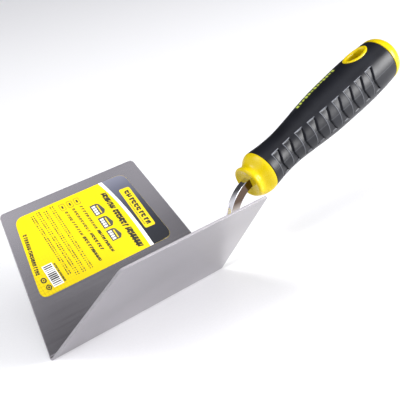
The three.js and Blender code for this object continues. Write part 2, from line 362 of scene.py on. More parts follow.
    folded_place = add(tree, "ShaderNodeCombineXYZ", {"X": x, "Y": y, "Z": z})
    metres = add(tree, "ShaderNodeVectorMath", {0: folded_place, "Scale": MM}, operation="SCALE")
    placed = add(tree, "ShaderNodeVectorMath", {0: metres, 1: tuple(CORNER)}, operation="ADD")
    t.finish(add(tree, "GeometryNodeSetPosition", {"Geometry": grid, "Position": placed}), stainless)
    return t


print("fold ready")


# %% Join two skins into the blade
def sheet_piece():
    """The outside and inside skins of the fold, joined along their edges into one closed sheet."""
    outside = fold_tree(0.0).grow("outside")
    inside = fold_tree(SHEET).grow("inside")
    points = [v.co.copy() for skin in (outside, inside) for v in skin.data.vertices]
    count = len(outside.data.vertices)
    faces = [tuple(p.vertices) for p in outside.data.polygons]
    faces += [tuple(i + count for i in reversed(p.vertices)) for p in inside.data.polygons]
    work = bmesh.new()
    work.from_mesh(outside.data)
    rim = [tuple(v.index for v in edge.verts) for edge in work.edges if edge.is_boundary]
    work.free()
    faces += [(a, b, b + count, a + count) for a, b in rim]
    for skin in (outside, inside):
        bpy.data.objects.remove(skin)
    return mesh_object("blade_sheet", points, faces), len(rim)


blade, rim_faces = sheet_piece()
bevel(blade, EDGE_BREAK).material = 1
dress(blade, stainless)
blade.data.materials.append(edge_steel)
for polygon in blade.data.polygons[-rim_faces:]:
    polygon.material_index = 1
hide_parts("blade")
print("blade:", len(blade.data.polygons), "faces")

# %% [markdown]
# ## Tang
# The tang is a square bar, bent cold and nickel plated, so it is the brightest metal on the tool. Its
# foot lies in the fold, the riser climbs out of the blade, and the neck runs straight into the handle.
# It could be a curve with a bevel, but a section carried along arcs and straights gives full control
# of the rounded edges, which catch the light.

# %% [markdown]
# The plating is a thin layer, so it could be a coat over steel. A metal with its own tint and a low
# roughness looks the same and is simpler. A dark, warm reflection is painted into its colour, chosen by
# the way the side faces and by the height.

# %% Nickel-plated steel
# Bright nickel over ground steel: sharp reflections and fine draw lines, with a dark, warm painted
# reflection on the sides under the handle.
def nickel_plate():
    material, tree, shader = new_material("bright nickel plate", Metallic=1.0)
    # Painted reflection: the bar's sides close under the handle are painted dark and warm, as if they
    # mirrored something dark.
    normal = add(tree, "ShaderNodeNewGeometry").outputs["Normal"]
    facing = add(tree, "ShaderNodeSeparateXYZ", {"Vector": normal}).outputs
    sideways = add(tree, "ShaderNodeMath", {0: facing["Y"]}, operation="ABSOLUTE")
    side = add(tree, "ShaderNodeMapRange", {"Value": sideways, "From Min": 0.75, "From Max": 0.97})
    rise = add(tree, "ShaderNodeSeparateXYZ", {"Vector": coordinates(tree)}).outputs["Z"]
    high = add(tree, "ShaderNodeMapRange", {"Value": rise, "From Min": at(0, 0, 26).z,
                                            "From Max": at(0, 0, 31).z})
    painted_dark_reflection = add(tree, "ShaderNodeMath", {0: side, 1: high}, operation="MULTIPLY")
    tone = add(tree, "ShaderNodeValToRGB", {"Fac": painted_dark_reflection},
               stops=[(0.0, "#d6d6da"), (0.45, "#a39a94"), (1.0, "#5f5046")])
    tree.links.new(tone.outputs["Color"], shader.inputs["Base Color"])
    lines = add(tree, "ShaderNodeTexNoise", {"Vector": coordinates(tree, stretch=(120, 3000, 120)),
                                             "Scale": 1.0, "Detail": 2.0}).outputs["Fac"]
    rough = add(tree, "ShaderNodeMapRange", {"Value": lines, "From Min": 0.3, "From Max": 0.7,
                                             "To Min": 0.08, "To Max": 0.17})
    tree.links.new(rough.outputs["Result"], shader.inputs["Roughness"])
    bump = add(tree, "ShaderNodeBump", {"Height": lines, "Strength": 0.05, "Distance": 0.00004})
    tree.links.new(bump.outputs[0], shader.inputs["Normal"])
    return material


nickel = nickel_plate()
print("made", nickel.name)

# %% Handle axis and tang route
SEAM_X, SEAM_Z = 136.4, 40.4           # where the axis of the handle meets the front of the grip
TILT = 0.3006                          # rise of the handle over the fold, in radians
COLLAR = 10.5                          # from the handle's front face to the grip
GRIP_LENGTH = 101.0
CAP = 9.5
TANG_WIDE, TANG_HIGH = 4.2, 5.0
TANG_TAIL = 50.0                       # the neck ends this far behind the front of the grip
NECK_CORNER = -COLLAR - 8.5            # where the neck and the riser would meet, along the axis
RISER = 1.102                          # rise of the riser over the fold, in radians
NECK_RADIUS, FOOT_RADIUS = 22.0, 12.0
FOOT_HEIGHT, FOOT_FRONT = 6.3, 48.0


def axis_point(t):
    """x and z of the handle's axis, t millimetres behind the front of the grip."""
    return SEAM_X + t * math.cos(TILT), SEAM_Z + t * math.sin(TILT)


def tang_route():
    """Points and directions, in millimetres and radians in the plane of the bends, foot first."""
    corner_x, corner_z = axis_point(NECK_CORNER)
    foot_x = corner_x - (corner_z - FOOT_HEIGHT) / math.tan(RISER)
    foot_start = foot_x - FOOT_RADIUS * math.tan(RISER / 2)
    neck_reach = NECK_RADIUS * math.tan((RISER - TILT) / 2)
    neck_x = corner_x - neck_reach * math.cos(RISER)
    neck_z = corner_z - neck_reach * math.sin(RISER)
    route = [(FOOT_FRONT, FOOT_HEIGHT, 0.0), (foot_start - 0.01, FOOT_HEIGHT, 0.0)]
    for step in range(17):
        turn = RISER * step / 16
        route.append((foot_start + FOOT_RADIUS * math.sin(turn),
                      FOOT_HEIGHT + FOOT_RADIUS * (1 - math.cos(turn)), turn))
    centre_x = neck_x + NECK_RADIUS * math.sin(RISER)
    centre_z = neck_z - NECK_RADIUS * math.cos(RISER)
    for step in range(17):
        turn = RISER + (TILT - RISER) * step / 16
        route.append((centre_x - NECK_RADIUS * math.sin(turn),
                      centre_z + NECK_RADIUS * math.cos(turn), turn))
    route.append((*axis_point(TANG_TAIL), TILT))
    return route


print("tang route:", len(tang_route()), "stops")


# %% Carry the section along the route
def rounded_section(wide, high, radius, steps=5):
    """Corner points of a rounded rectangle, as (across, up) in millimetres."""
    section = []
    for corner, (sx, sy) in enumerate(((1, 1), (-1, 1), (-1, -1), (1, -1))):
        for step in range(steps + 1):
            angle = (corner + step / steps) * math.pi / 2
            section.append((sx * (wide / 2 - radius) + radius * math.cos(angle),
                            sy * (high / 2 - radius) + radius * math.sin(angle)))
    return section


def tang_piece():
    points = []
    route = tang_route()
    section = rounded_section(TANG_WIDE, TANG_HIGH, 0.45)
    smaller = rounded_section(TANG_WIDE - 0.8, TANG_HIGH - 0.8, 0.3)
    first, last = route[0], route[-1]
    toe = (first[0] - 0.4, first[1], 0.0)
    tail = (last[0] + 0.4 * math.cos(TILT), last[1] + 0.4 * math.sin(TILT), TILT)
    stations = [(toe, smaller)] + [(stop, section) for stop in route] + [(tail, smaller)]
    for (x, z, turn), outline in stations:
        for across, up in outline:
            points.append(at(x - up * math.sin(turn), across, z + up * math.cos(turn)))
    count = len(section)
    faces = grid_faces(len(stations), count, wrap_columns=True)
    faces += [tuple(range(count)), tuple(range(len(points) - count, len(points)))]
    return mesh_object("tang_bar", points, faces)


tang = tang_piece()
dress(tang, nickel)
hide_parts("tang")
print("tang:", len(tang.data.polygons), "faces")

# %% [markdown]
# ## Handle core
# The core is the first shot of a two-shot moulding: hard polypropylene round the tang. It shows as the
# flared collar in front, the oval rim of the hanging hole and the dome behind the grip. It could be
# modelled from a cylinder, but a body of revolution whose outline also changes round the handle gives
# the collar its finger rest: pulled in behind the lip on top and at the sides, and full underneath.

# %% [markdown]
# Moulded plastic is rarely quite even. A slow noise moves the colour a little, as the melt's flow does,
# and a fine one moves the gloss. A flat colour would do from far away, but looks like paint close up.

# %% Yellow polypropylene
# Injection-moulded PP from a polished tool: smooth and glossy, with a trace of flow in the colour and
# the fine pits that sharp light shows up.
def yellow_polypropylene():
    material, tree, shader = new_material(
        "yellow moulded polypropylene", **{"Coat Weight": 0.06, "Coat Roughness": 0.12,
                                           "Specular IOR Level": 0.25})
    flow = add(tree, "ShaderNodeTexNoise", {"Vector": coordinates(tree), "Scale": 45.0, "Detail": 2.0})
    colour = add(tree, "ShaderNodeValToRGB", {"Fac": flow.outputs["Fac"]},
                 stops=[(0.3, "#c9b000"), (0.7, "#d3ba00")])
    tree.links.new(colour.outputs["Color"], shader.inputs["Base Color"])
    pits = add(tree, "ShaderNodeTexNoise", {"Vector": coordinates(tree), "Scale": 2500.0, "Detail": 1.0})
    rough = add(tree, "ShaderNodeMapRange", {"Value": pits.outputs["Fac"], "From Min": 0.3,
                                             "From Max": 0.7, "To Min": 0.22, "To Max": 0.32})
    tree.links.new(rough.outputs["Result"], shader.inputs["Roughness"])
    bump = add(tree, "ShaderNodeBump", {"Height": pits.outputs["Fac"], "Strength": 0.05,
                                        "Distance": 0.00003})
    tree.links.new(bump.outputs[0], shader.inputs["Normal"])
    return material


core_plastic = yellow_polypropylene()
print("made", core_plastic.name)

# %% Outline of the handle
GRIP_WALL = 2.5
# Radius of the grip against the distance behind its front end.
GRIP_OUTLINE = [(0, 11.2), (10, 10.2), (20, 10.1), (31, 11.0), (42, 12.2), (53, 13.1),
                (65, 13.5), (78, 13.8), (91, 13.5), (101, 12.8)]


def smooth_value(outline, t):
    """A value from a list of (place, value) on a curve that passes through every point."""
    places = [p for p, _ in outline]
    values = [v for _, v in outline]
    t = min(max(t, places[0]), places[-1])
    i = min(max(np.searchsorted(places, t) - 1, 0), len(places) - 2)
    span = places[i + 1] - places[i]

    def slope(k):
        if k == 0 or k == len(places) - 1:
            j = min(k, len(places) - 2)
            return (values[j + 1] - values[j]) / (places[j + 1] - places[j])
        return (values[k + 1] - values[k - 1]) / (places[k + 1] - places[k - 1])

    f = (t - places[i]) / span
    rise = values[i] * (1 + 2 * f) * (1 - f) ** 2 + values[i + 1] * f * f * (3 - 2 * f)
    return rise + span * (slope(i) * f * (1 - f) ** 2 - slope(i + 1) * f * f * (1 - f))


def grip_radius(t):
    return smooth_value(GRIP_OUTLINE, t)


print("grip radius:", grip_radius(0), "mm in front,", grip_radius(GRIP_LENGTH), "mm behind")


# %% Places on the handle
def on_handle(t, radius, angle):
    """A point at an angle from the handle's top, turning towards -Y."""
    x, z = axis_point(t)
    up = radius * math.cos(angle)
    return at(x - up * math.sin(TILT), -radius * math.sin(angle), z + up * math.cos(TILT))


def blend(a, b, share):
    return a + (b - a) * share


def ease(value, low, high):
    """0 below the low value, 1 above the high one and a smooth step between them."""
    share = min(max((value - low) / (high - low), 0.0), 1.0)
    return share * share * (3 - 2 * share)


print("front of the grip at", tuple(round(c / MM, 1) for c in on_handle(0, 0, 0)), "mm")


# %% Collar, spool and dome
# Radius of the collar against the distance behind the grip's front end, on top and underneath.
LIP_TOP = [(-10.5, 7.9), (-10.1, 8.5), (-9.5, 8.75), (-8.8, 8.7), (-7.6, 8.25), (-6.2, 8.25),
           (-4.6, 9.0), (-2.8, 10.2), (-1.2, 10.95), (0, 11.2)]
LIP_BOTTOM = [(-10.5, 7.9), (-10.1, 8.5), (-9.5, 8.95), (-8.8, 9.4), (-7.6, 10.0), (-6.2, 10.6),
              (-4.6, 11.0), (-2.8, 11.3), (-1.2, 11.35), (0, 11.2)]
FACE_RADIUS = 7.9                      # of the collar's front face
# The front face is dished: rings as (share of its radius, depth behind the front).
DISH = [(0.35, 0.9), (0.6, 0.8), (0.8, 0.45), (0.93, 0.1)]
DISH_DEPTH = 0.95
ROUND = 96


def collar_radius(t, angle):
    away = abs(math.remainder(angle, 2 * math.pi))
    return blend(smooth_value(LIP_TOP, t), smooth_value(LIP_BOTTOM, t), ease(away, 1.75, 2.7))


def core_stations():
    """Rings of the core as (t, radius as a function of the angle), front to back."""
    rings = []
    for share, depth in DISH:
        rings.append((-COLLAR + depth, lambda angle, s=share: FACE_RADIUS * s))
    steps = 30
    for i in range(steps + 1):
        t = -COLLAR + COLLAR * (i / steps) ** 1.25
        rings.append((t, lambda angle, t=t: collar_radius(t, angle)))
    rings.append((0.05, lambda angle: 11.1))
    for t in np.linspace(0.1, GRIP_LENGTH - 0.1, 40):
        rings.append((t, lambda angle, t=t: grip_radius(t) - GRIP_WALL))
    rear = grip_radius(GRIP_LENGTH)
    rings.append((GRIP_LENGTH - 0.05, lambda angle: rear - 0.1))
    for i in range(23):
        turn = math.pi / 2 * i / 23
        rings.append((GRIP_LENGTH + CAP * math.sin(turn) ** 0.92,
                      lambda angle, s=math.cos(turn) ** 0.9: rear * s))
    return rings


def core_body():
    rings = core_stations()
    points = [on_handle(t, radius(a), a) for t, radius in rings
              for a in np.linspace(0, 2 * math.pi, ROUND, endpoint=False)]
    faces = grid_faces(len(rings), ROUND, wrap_columns=True)
    front, back = len(points), len(points) + 1
    points += [on_handle(-COLLAR + DISH_DEPTH, 0, 0), on_handle(GRIP_LENGTH + CAP, 0, 0)]
    last = (len(rings) - 1) * ROUND
    for j in range(ROUND):
        k = (j + 1) % ROUND
        faces += [(front, k, j), (back, last + j, last + k)]
    return mesh_object("handle_core_body", points, faces)


print("core rings:", len(core_stations()))

# %% [markdown]
# The hanging hole runs across the handle, and the core's plastic lines it and stands up round both of
# its mouths as an oval rim. The rim has to follow the round of the handle, so it isn't a torus: each of
# its points is set at a height over the grip's surface. It is joined to the core by a boolean, after an
# oval has been cut out to make room.

# %% Hanging hole and its rim
HOLE_T = 86.5
HOLE_HALF = (6.75, 3.25)               # half length and half width of the hole
RIM_HALF = (9.0, 5.15)                 # the same for the outside of its rim
# Outline across the rim as (share from the hole to the outside, height over the grip).
RIM_SECTION = [(-0.06, -4.0), (-0.05, -2.0), (0.0, -0.8), (0.1, -0.15), (0.28, 0.25), (0.55, 0.48),
               (0.8, 0.5), (0.93, 0.4), (0.99, 0.15), (1.0, -0.3), (1.0, -2.2)]
RIM_ROUND = 72


def column_point(share, turn, height, side):
    """A point of the oval column: height over the grip's surface on top (side 1) or below (-1)."""
    along = blend(HOLE_HALF[0], RIM_HALF[0], share) * math.cos(turn)
    across = blend(HOLE_HALF[1], RIM_HALF[1], share) * math.sin(turn)
    surface = math.sqrt(max(grip_radius(HOLE_T + along) ** 2 - across ** 2, 0.0))
    x, z = axis_point(HOLE_T + along)
    up = side * (surface + height)
    return at(x - up * math.sin(TILT), across, z + up * math.cos(TILT))


def eyelet():
    """A closed oval tube through the handle, with a rounded rim at both ends."""
    loop = [(s, h, 1) for s, h in RIM_SECTION] + [(s, h, -1) for s, h in reversed(RIM_SECTION)]
    points = [column_point(s, turn, h, side) for s, h, side in loop
              for turn in np.linspace(0, 2 * math.pi, RIM_ROUND, endpoint=False)]
    return mesh_object("eyelet", points, grid_faces(len(loop), RIM_ROUND, True, True))


def oval_cutter(share, reach=20.0, extra=0.0):
    """An oval column that runs right through the handle, for cutting."""
    points = []
    for up in (-reach, reach):
        for turn in np.linspace(0, 2 * math.pi, RIM_ROUND, endpoint=False):
            along = (blend(HOLE_HALF[0], RIM_HALF[0], share) + extra) * math.cos(turn)
            across = (blend(HOLE_HALF[1], RIM_HALF[1], share) + extra) * math.sin(turn)
            x, z = axis_point(HOLE_T + along)
            points.append(at(x - up * math.sin(TILT), across, z + up * math.cos(TILT)))
    caps = [tuple(range(RIM_ROUND)), tuple(range(RIM_ROUND, 2 * RIM_ROUND))]
    return mesh_object("cutter", points, grid_faces(2, RIM_ROUND, wrap_columns=True) + caps)


print("hole:", 2 * HOLE_HALF[0], "by", 2 * HOLE_HALF[1], "mm")


# %% Join and cut
def boolean(thing, tool, operation):
    """Joins or cuts a piece with another, which is used up."""
    step = thing.modifiers.new(operation, "BOOLEAN")
    step.operation = operation
    step.solver = "EXACT"
    step.object = tool
    settle(thing)
    bpy.data.objects.remove(tool)
    return thing


def smooth_by_angle(thing, angle):
    """Smooth shading, with a hard edge wherever the faces turn more than the angle."""
    mesh = thing.data
    mesh.polygons.foreach_set("use_smooth", [True] * len(mesh.polygons))
    work = bmesh.new()
    work.from_mesh(mesh)
    for edge in work.edges:
        edge.smooth = len(edge.link_faces) == 2 and edge.calc_face_angle(0.0) < angle
    work.to_mesh(mesh)
    work.free()


core = core_body()
boolean(core, oval_cutter(0.5), "DIFFERENCE")
boolean(core, eyelet(), "UNION")
smooth_by_angle(core, 0.7)
dress(core, core_plastic)
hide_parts("handle_core")
print("core:", len(core.data.polygons), "faces")

# %% [markdown]
# ## Grip
# The grip is the second shot: black thermoplastic elastomer moulded over the core. Each side has nine
# treads. A tread is a shallow pocket that starts at a straight front edge and ramps down to a deeper
# groove shaped like an arrow, so that fingers bed in and don't slide back. Cutting them with booleans
# would leave ragged shading, so the mesh is laid out along them instead: every edge of a tread is a
# row or a column of the grid, and one round of subdivision softens it as the mould does.

# %% [markdown]
# Soft black plastic shows its shape only by its gloss, so the gloss is where the work goes: a slow
# change in roughness, and a fine leathery bump from Voronoi cells. Pale lines along the treads' edges are
# painted highlights, and the parting line is painted paler; the treads' edges are known, so an attribute
# on the mesh carries them.

# %% Black elastomer
# SEBS-based TPE, spark-eroded tool: near black and slightly blue, soft semi-gloss, and a fine leathery
# grain of about 0.3 mm, which breaks up the highlight. Highlights are painted pale along the raised edges
# of the treads, and the parting line is painted paler; an attribute on the mesh says where.
def black_elastomer():
    material, tree, shader = new_material(
        "black thermoplastic elastomer", **{"Specular IOR Level": 0.32})
    patch = add(tree, "ShaderNodeTexNoise", {"Vector": coordinates(tree), "Scale": 60.0, "Detail": 3.0})
    colour = add(tree, "ShaderNodeValToRGB", {"Fac": patch.outputs["Fac"]},
                 stops=[(0.3, "#0e0f15"), (0.7, "#14161d")])
    # Painted highlight: the attribute mixes a pale grey into the black along the treads' edges and the
    # parting line.
    painted_highlight_and_seam = add(tree, "ShaderNodeAttribute", attribute_name="painted_highlight_and_seam").outputs["Fac"]
    highlighted = add(tree, "ShaderNodeMix", {"Factor": painted_highlight_and_seam, "A": colour, "B": linear("#8d9098")},
               data_type="RGBA")
    tree.links.new(highlighted.outputs["Result"], shader.inputs["Base Color"])
    grain = add(tree, "ShaderNodeTexVoronoi", {"Vector": coordinates(tree), "Scale": 3200.0})
    rough = add(tree, "ShaderNodeMapRange", {"Value": patch.outputs["Fac"], "From Min": 0.3,
                                             "From Max": 0.7, "To Min": 0.34, "To Max": 0.44})
    tree.links.new(rough.outputs["Result"], shader.inputs["Roughness"])
    bump = add(tree, "ShaderNodeBump", {"Height": grain.outputs["Distance"], "Strength": 0.12,
                                        "Distance": 0.00005})
    tree.links.new(bump.outputs[0], shader.inputs["Normal"])
    return material


grip_rubber = black_elastomer()
print("made", grip_rubber.name)

# %% Layout of the treads
TREADS = 9
TREAD_FIRST = 7.8                      # the first arrow's tip, behind the front of the grip
TREAD_PITCH = 9.2
TREAD_HALF = 7.5                       # half the width of a tread, round the handle
TREAD_LINE = 1.475                     # angle of the arrows' tips from the top, in radians
ARROW = 3.0                            # how far the arrow's ends trail behind its tip
FRONT_EDGE = -2.5                      # the straight front edge, in front of the tip
GROOVE_DEPTH = 0.95
FRONT_DEPTH = 0.22
LIP_RISE = 0.1                         # the rolled edge in front of and above each pocket
SIDE_COLUMNS = [-9.2, -8.2, -7.72, -7.5, -7.28, -6.6, -5.4, -4.2, -3.0, -1.8, -0.8, -0.25,
                0.25, 0.8, 1.8, 3.0, 4.2, 5.4, 6.6, 7.28, 7.5, 7.72, 8.2, 9.2]
FILL_COLUMNS = 17
END_GAP = 0.3                          # between each end of the grip and the core
print("treads:", TREADS, "over", round(TREAD_PITCH * (TREADS - 1), 1), "mm")


# %% Rows and columns of the grip
def grip_rows():
    """Rows as (t at the tips, how much of the arrow's trail it follows, depth, in a pocket)."""
    rows = [(END_GAP, 0, 0.3, 0), (END_GAP + 0.06, 0, 0.06, 0), (0.7, 0, 0, 0), (1.8, 0, 0, 0),
            (3.2, 0, 0, 0)]
    for k in range(TREADS):
        tip = TREAD_FIRST + TREAD_PITCH * k
        front = tip + FRONT_EDGE
        rows += [(front - 0.5, 0, 0, 0), (front - 0.16, 0, -LIP_RISE, 1), (front + 0.04, 0, -LIP_RISE, 1),
                 (front + 0.18, 0, FRONT_DEPTH, 1)]
        for share in (0.35, 0.7):
            depth = blend(FRONT_DEPTH, GROOVE_DEPTH * 0.75, share)
            rows.append((blend(front + 0.18, tip - 0.42, share), share, depth, 1))
        rows += [(tip - 0.42, 1, GROOVE_DEPTH * 0.72, 1), (tip - 0.2, 1, GROOVE_DEPTH, 1),
                 (tip + 0.1, 1, GROOVE_DEPTH, 1), (tip + 0.2, 1, 0.02, 1), (tip + 0.5, 1, 0, 0)]
        if k < TREADS - 1:
            rows += [(tip + 2.3, 0.72, 0, 0), (tip + 4.2, 0.38, 0, 0)]
    tip = TREAD_FIRST + TREAD_PITCH * (TREADS - 1)
    rows += [(tip + 2.5, 0.85, 0, 0), (tip + 5, 0.6, 0, 0), (tip + 8, 0.3, 0, 0)]
    rows += [(GRIP_LENGTH - left, 0, 0, 0) for left in (9.5, 7, 4.5, 2.5, 1)]
    rows += [(GRIP_LENGTH - END_GAP - 0.06, 0, 0.06, 0), (GRIP_LENGTH - END_GAP, 0, 0.3, 0)]
    return rows


def arrow(s):
    return ARROW * (min(abs(s), TREAD_HALF + 0.5) / TREAD_HALF) ** 1.3


def grip_columns(t):
    """Angles round the handle, with the arc distance from the nearest line of tips."""
    radius = grip_radius(t)
    columns = [(TREAD_LINE + s / radius, s) for s in SIDE_COLUMNS]
    edge = SIDE_COLUMNS[-1]
    low, high = TREAD_LINE + edge / radius, 2 * math.pi - TREAD_LINE - edge / radius
    for i in range(1, FILL_COLUMNS + 1):
        share = i / (FILL_COLUMNS + 1)
        columns.append((blend(low, high, share), edge + 12 * min(share, 1 - share)))
    columns += [(2 * math.pi - TREAD_LINE + s / radius, s) for s in SIDE_COLUMNS]
    for i in range(1, FILL_COLUMNS + 1):
        share = i / (FILL_COLUMNS + 1)
        start = 2 * math.pi - TREAD_LINE + edge / radius
        columns.append((blend(start, 2 * math.pi + TREAD_LINE - edge / radius, share),
                        edge + 12 * min(share, 1 - share)))
    return columns


print("rows:", len(grip_rows()), "columns:", len(grip_columns(0.0)))


# %% Lay out the mesh of the grip
def pocket_depth(s, depth):
    """A tread's depth inside its width, nothing outside it, and a rolled edge on its border."""
    away = abs(s)
    if away < TREAD_HALF - 0.1:
        return depth
    if away > TREAD_HALF + 0.1:
        return 0.0
    return -LIP_RISE if depth > 0 else 0.0


def grip_piece():
    points = []
    for t, trail, depth, in_pocket in grip_rows():
        for angle, s in grip_columns(t):
            fade = 1.0 - ease(abs(s), TREAD_HALF + 1.0, TREAD_HALF + 7.0)
            place = t + trail * arrow(s) * fade
            sink = pocket_depth(s, depth) if in_pocket else depth
            points.append(on_handle(place, grip_radius(place) - sink, angle))
    # The inside of the sleeve comes back from the rear to the front, just clear of the core.
    for t in (GRIP_LENGTH - END_GAP, 70, 40, 20, END_GAP):
        for angle, _ in grip_columns(t):
            points.append(on_handle(t, grip_radius(t) - GRIP_WALL + 0.2, angle))
    columns = len(grip_columns(0.0))
    count = len(points) // columns
    return mesh_object("grip_sleeve", points, grid_faces(count, columns, True, True))


print("grip wall:", GRIP_WALL, "mm")


# %% Painted edge highlights
def paint_edge_highlights(thing):
    """Marks the painted highlights on the edges in front of, above and below each tread, and the paler
    parting line.
    """
    values = []
    start = at(SEAM_X, 0, SEAM_Z)
    way = Vector((math.cos(TILT), 0, math.sin(TILT)))
    over = Vector((-math.sin(TILT), 0, math.cos(TILT)))
    for vertex in thing.data.vertices:
        place = (vertex.co - start) / MM
        t = place.dot(way)
        angle = math.atan2(abs(place.y), place.dot(over))
        s = (angle - TREAD_LINE) * grip_radius(min(max(t, 0.0), GRIP_LENGTH))
        behind = (t - TREAD_FIRST - FRONT_EDGE + 0.5) % TREAD_PITCH - 0.5
        inside = TREAD_FIRST + FRONT_EDGE - 0.5 < t < TREAD_FIRST + TREAD_PITCH * (TREADS - 1) + ARROW
        value = 0.0
        # Painted highlights on the front, upper and lower edges of each tread, the front ones fading
        # towards the lower side; then a paler parting line.
        if inside and abs(s) < TREAD_HALF + 0.15 and -0.22 < behind < 0.1:
            value = 0.5 - 0.1 * s / TREAD_HALF - 0.12 * max(s, 0.0) / TREAD_HALF
        if inside and -TREAD_HALF - 0.25 < s < -TREAD_HALF + 0.25 and -0.22 < behind < -FRONT_EDGE + ARROW:
            value = 0.6
        if abs(s - TREAD_HALF) < 0.25 and inside and -0.3 < behind + FRONT_EDGE < ARROW:
            value = 0.22
        if abs(s) < 0.14 and 2 < t < GRIP_LENGTH - 1:
            value = max(value, 0.16)
        values.append(value)
    painted_highlight_and_seam = thing.data.attributes.new("painted_highlight_and_seam", "FLOAT", "POINT")
    painted_highlight_and_seam.data.foreach_set("value", values)


print("painted highlight marks ready")

# %% Make the grip
grip = grip_piece()
soften = grip.modifiers.new("soften", "SUBSURF")
soften.levels = 1
soften.render_levels = 1
settle(grip)
boolean(grip, oval_cutter(1.0, extra=0.16), "DIFFERENCE")
smooth_by_angle(grip, 1.05)
paint_edge_highlights(grip)
dress(grip, grip_rubber)
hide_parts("grip")
print("grip:", len(grip.data.polygons), "faces")

# %% [markdown]
# ## Print on the grip
# Pad printing leaves a film of ink a few hundredths of a millimetre thick. A row of plain slanted
# dashes stands for it. They repeat along a line, so Geometry Nodes lay out the row flat, one small
# rounded bar for each dash, and a short loop then wraps the row onto the handle.

# %% Lime ink
# Two-part pad-printing ink: flat colour, satin, and slightly thin where the pad lifted.
def lime_ink():
    material, tree, shader = new_material("lime pad-printing ink", Roughness=0.45)
    thin = add(tree, "ShaderNodeTexNoise", {"Vector": coordinates(tree), "Scale": 900.0, "Detail": 2.0})
    colour = add(tree, "ShaderNodeValToRGB", {"Fac": thin.outputs["Fac"]},
                 stops=[(0.3, "#a9b648"), (0.55, "#c9d85a")])
    tree.links.new(colour.outputs["Color"], shader.inputs["Base Color"])
    return material


ink = lime_ink()
print("made", ink.name)

# %% Dashes along the top of the grip
def dash_tree():
    t = Tree("row of dashes", **{"Row length": 32.0, "Pitch": 2.6, "Dash length": 1.7,
                                 "Dash height": 2.6, "Film": 0.06})
    tree, size = t.tree, t.inputs
    spaces = add(tree, "ShaderNodeMath", {0: size["Row length"], 1: size["Pitch"]}, operation="DIVIDE")
    count = add(tree, "FunctionNodeFloatToInt",
                {0: add(tree, "ShaderNodeMath", {0: spaces, 1: 1.0}, operation="ADD")})
    step = add(tree, "ShaderNodeCombineXYZ", {"X": size["Pitch"]})
    line = add(tree, "GeometryNodeMeshLine", {"Count": count, "Offset": step})
    block = add(tree, "ShaderNodeCombineXYZ",
                {"X": size["Dash length"], "Y": size["Dash height"], "Z": size["Film"]})
    dash = add(tree, "GeometryNodeMeshCube", {"Size": block, "Vertices X": 3, "Vertices Y": 5,
                                              "Vertices Z": 2})
    # Heights step down over three dashes, so that the row reads as a mark and not as a ruler.
    number = add(tree, "GeometryNodeInputIndex")
    of_three = add(tree, "ShaderNodeMath", {0: number, 1: 3.0}, operation="MODULO")
    tall = add(tree, "ShaderNodeMath", {0: of_three, 1: -0.17, 2: 1.0}, operation="MULTIPLY_ADD")
    stretch = add(tree, "ShaderNodeCombineXYZ", {"X": 1.0, "Y": tall, "Z": 1.0})
    row = add(tree, "GeometryNodeInstanceOnPoints", {"Points": line, "Instance": dash, "Scale": stretch})
    t.finish(row, ink)
    return t


def wrap_on_grip(thing, front, angle, slant):
    """Lays a flat piece, in millimetres, on the grip: X along it, Y round it and Z out of it."""
    for vertex in thing.data.vertices:
        x, y, z = vertex.co
        t = front + x + slant * y
        radius = grip_radius(t) + 0.03 + z
        vertex.co = on_handle(t, radius, angle - y / radius)
    thing.data.update()
    return thing


MARK_FRONT, MARK_ANGLE = 39.5, math.radians(-14.0)
mark = wrap_on_grip(dash_tree().grow("grip_print"), MARK_FRONT, MARK_ANGLE, 0.25)
mark = mesh_object("grip_print_dashes", [v.co for v in mark.data.vertices],
                   [tuple(p.vertices) for p in mark.data.polygons], smooth=False)
dress(mark, ink)
bpy.data.objects.remove(bpy.data.objects["grip_print"])
print("dashes:", len(mark.data.polygons), "faces")

# %% [markdown]
# ## Label
# The label is a printed film, stuck inside one wing, with its ends running along the ends of the wing.
# An image texture would be the usual way, but the print here is only plain blocks, bars and dashes, so
# it is made as thin layers of ink: each layer is a set of flat outlines given a little thickness.
# Distances are u, along the fold from its free end, and v, up the wing from the fold.

# %% Places on the wing
FILM = 0.12
LABEL_LOW, LABEL_HIGH = 27.7, 69.8
LABEL_FRONT, LABEL_REAR = 11.5, 88.4
LABEL_FRONT_SLANT, LABEL_REAR_SLANT = 9.7, 3.3
HALF_ROOT = math.sqrt(0.5)
GRID_PITCH = 1.7


def on_wing(u, v, height):
    """A point over the inside face of the +Y wing."""
    lift = SHEET + height
    return at(u, (v - lift) * HALF_ROOT, (v + lift) * HALF_ROOT)


def label_share(v):
    """0 at the label's lower edge and 1 at its upper edge."""
    return (v - LABEL_LOW) / (LABEL_HIGH - LABEL_LOW)


print("label:", LABEL_REAR - LABEL_FRONT, "by", round(LABEL_HIGH - LABEL_LOW, 1), "mm")

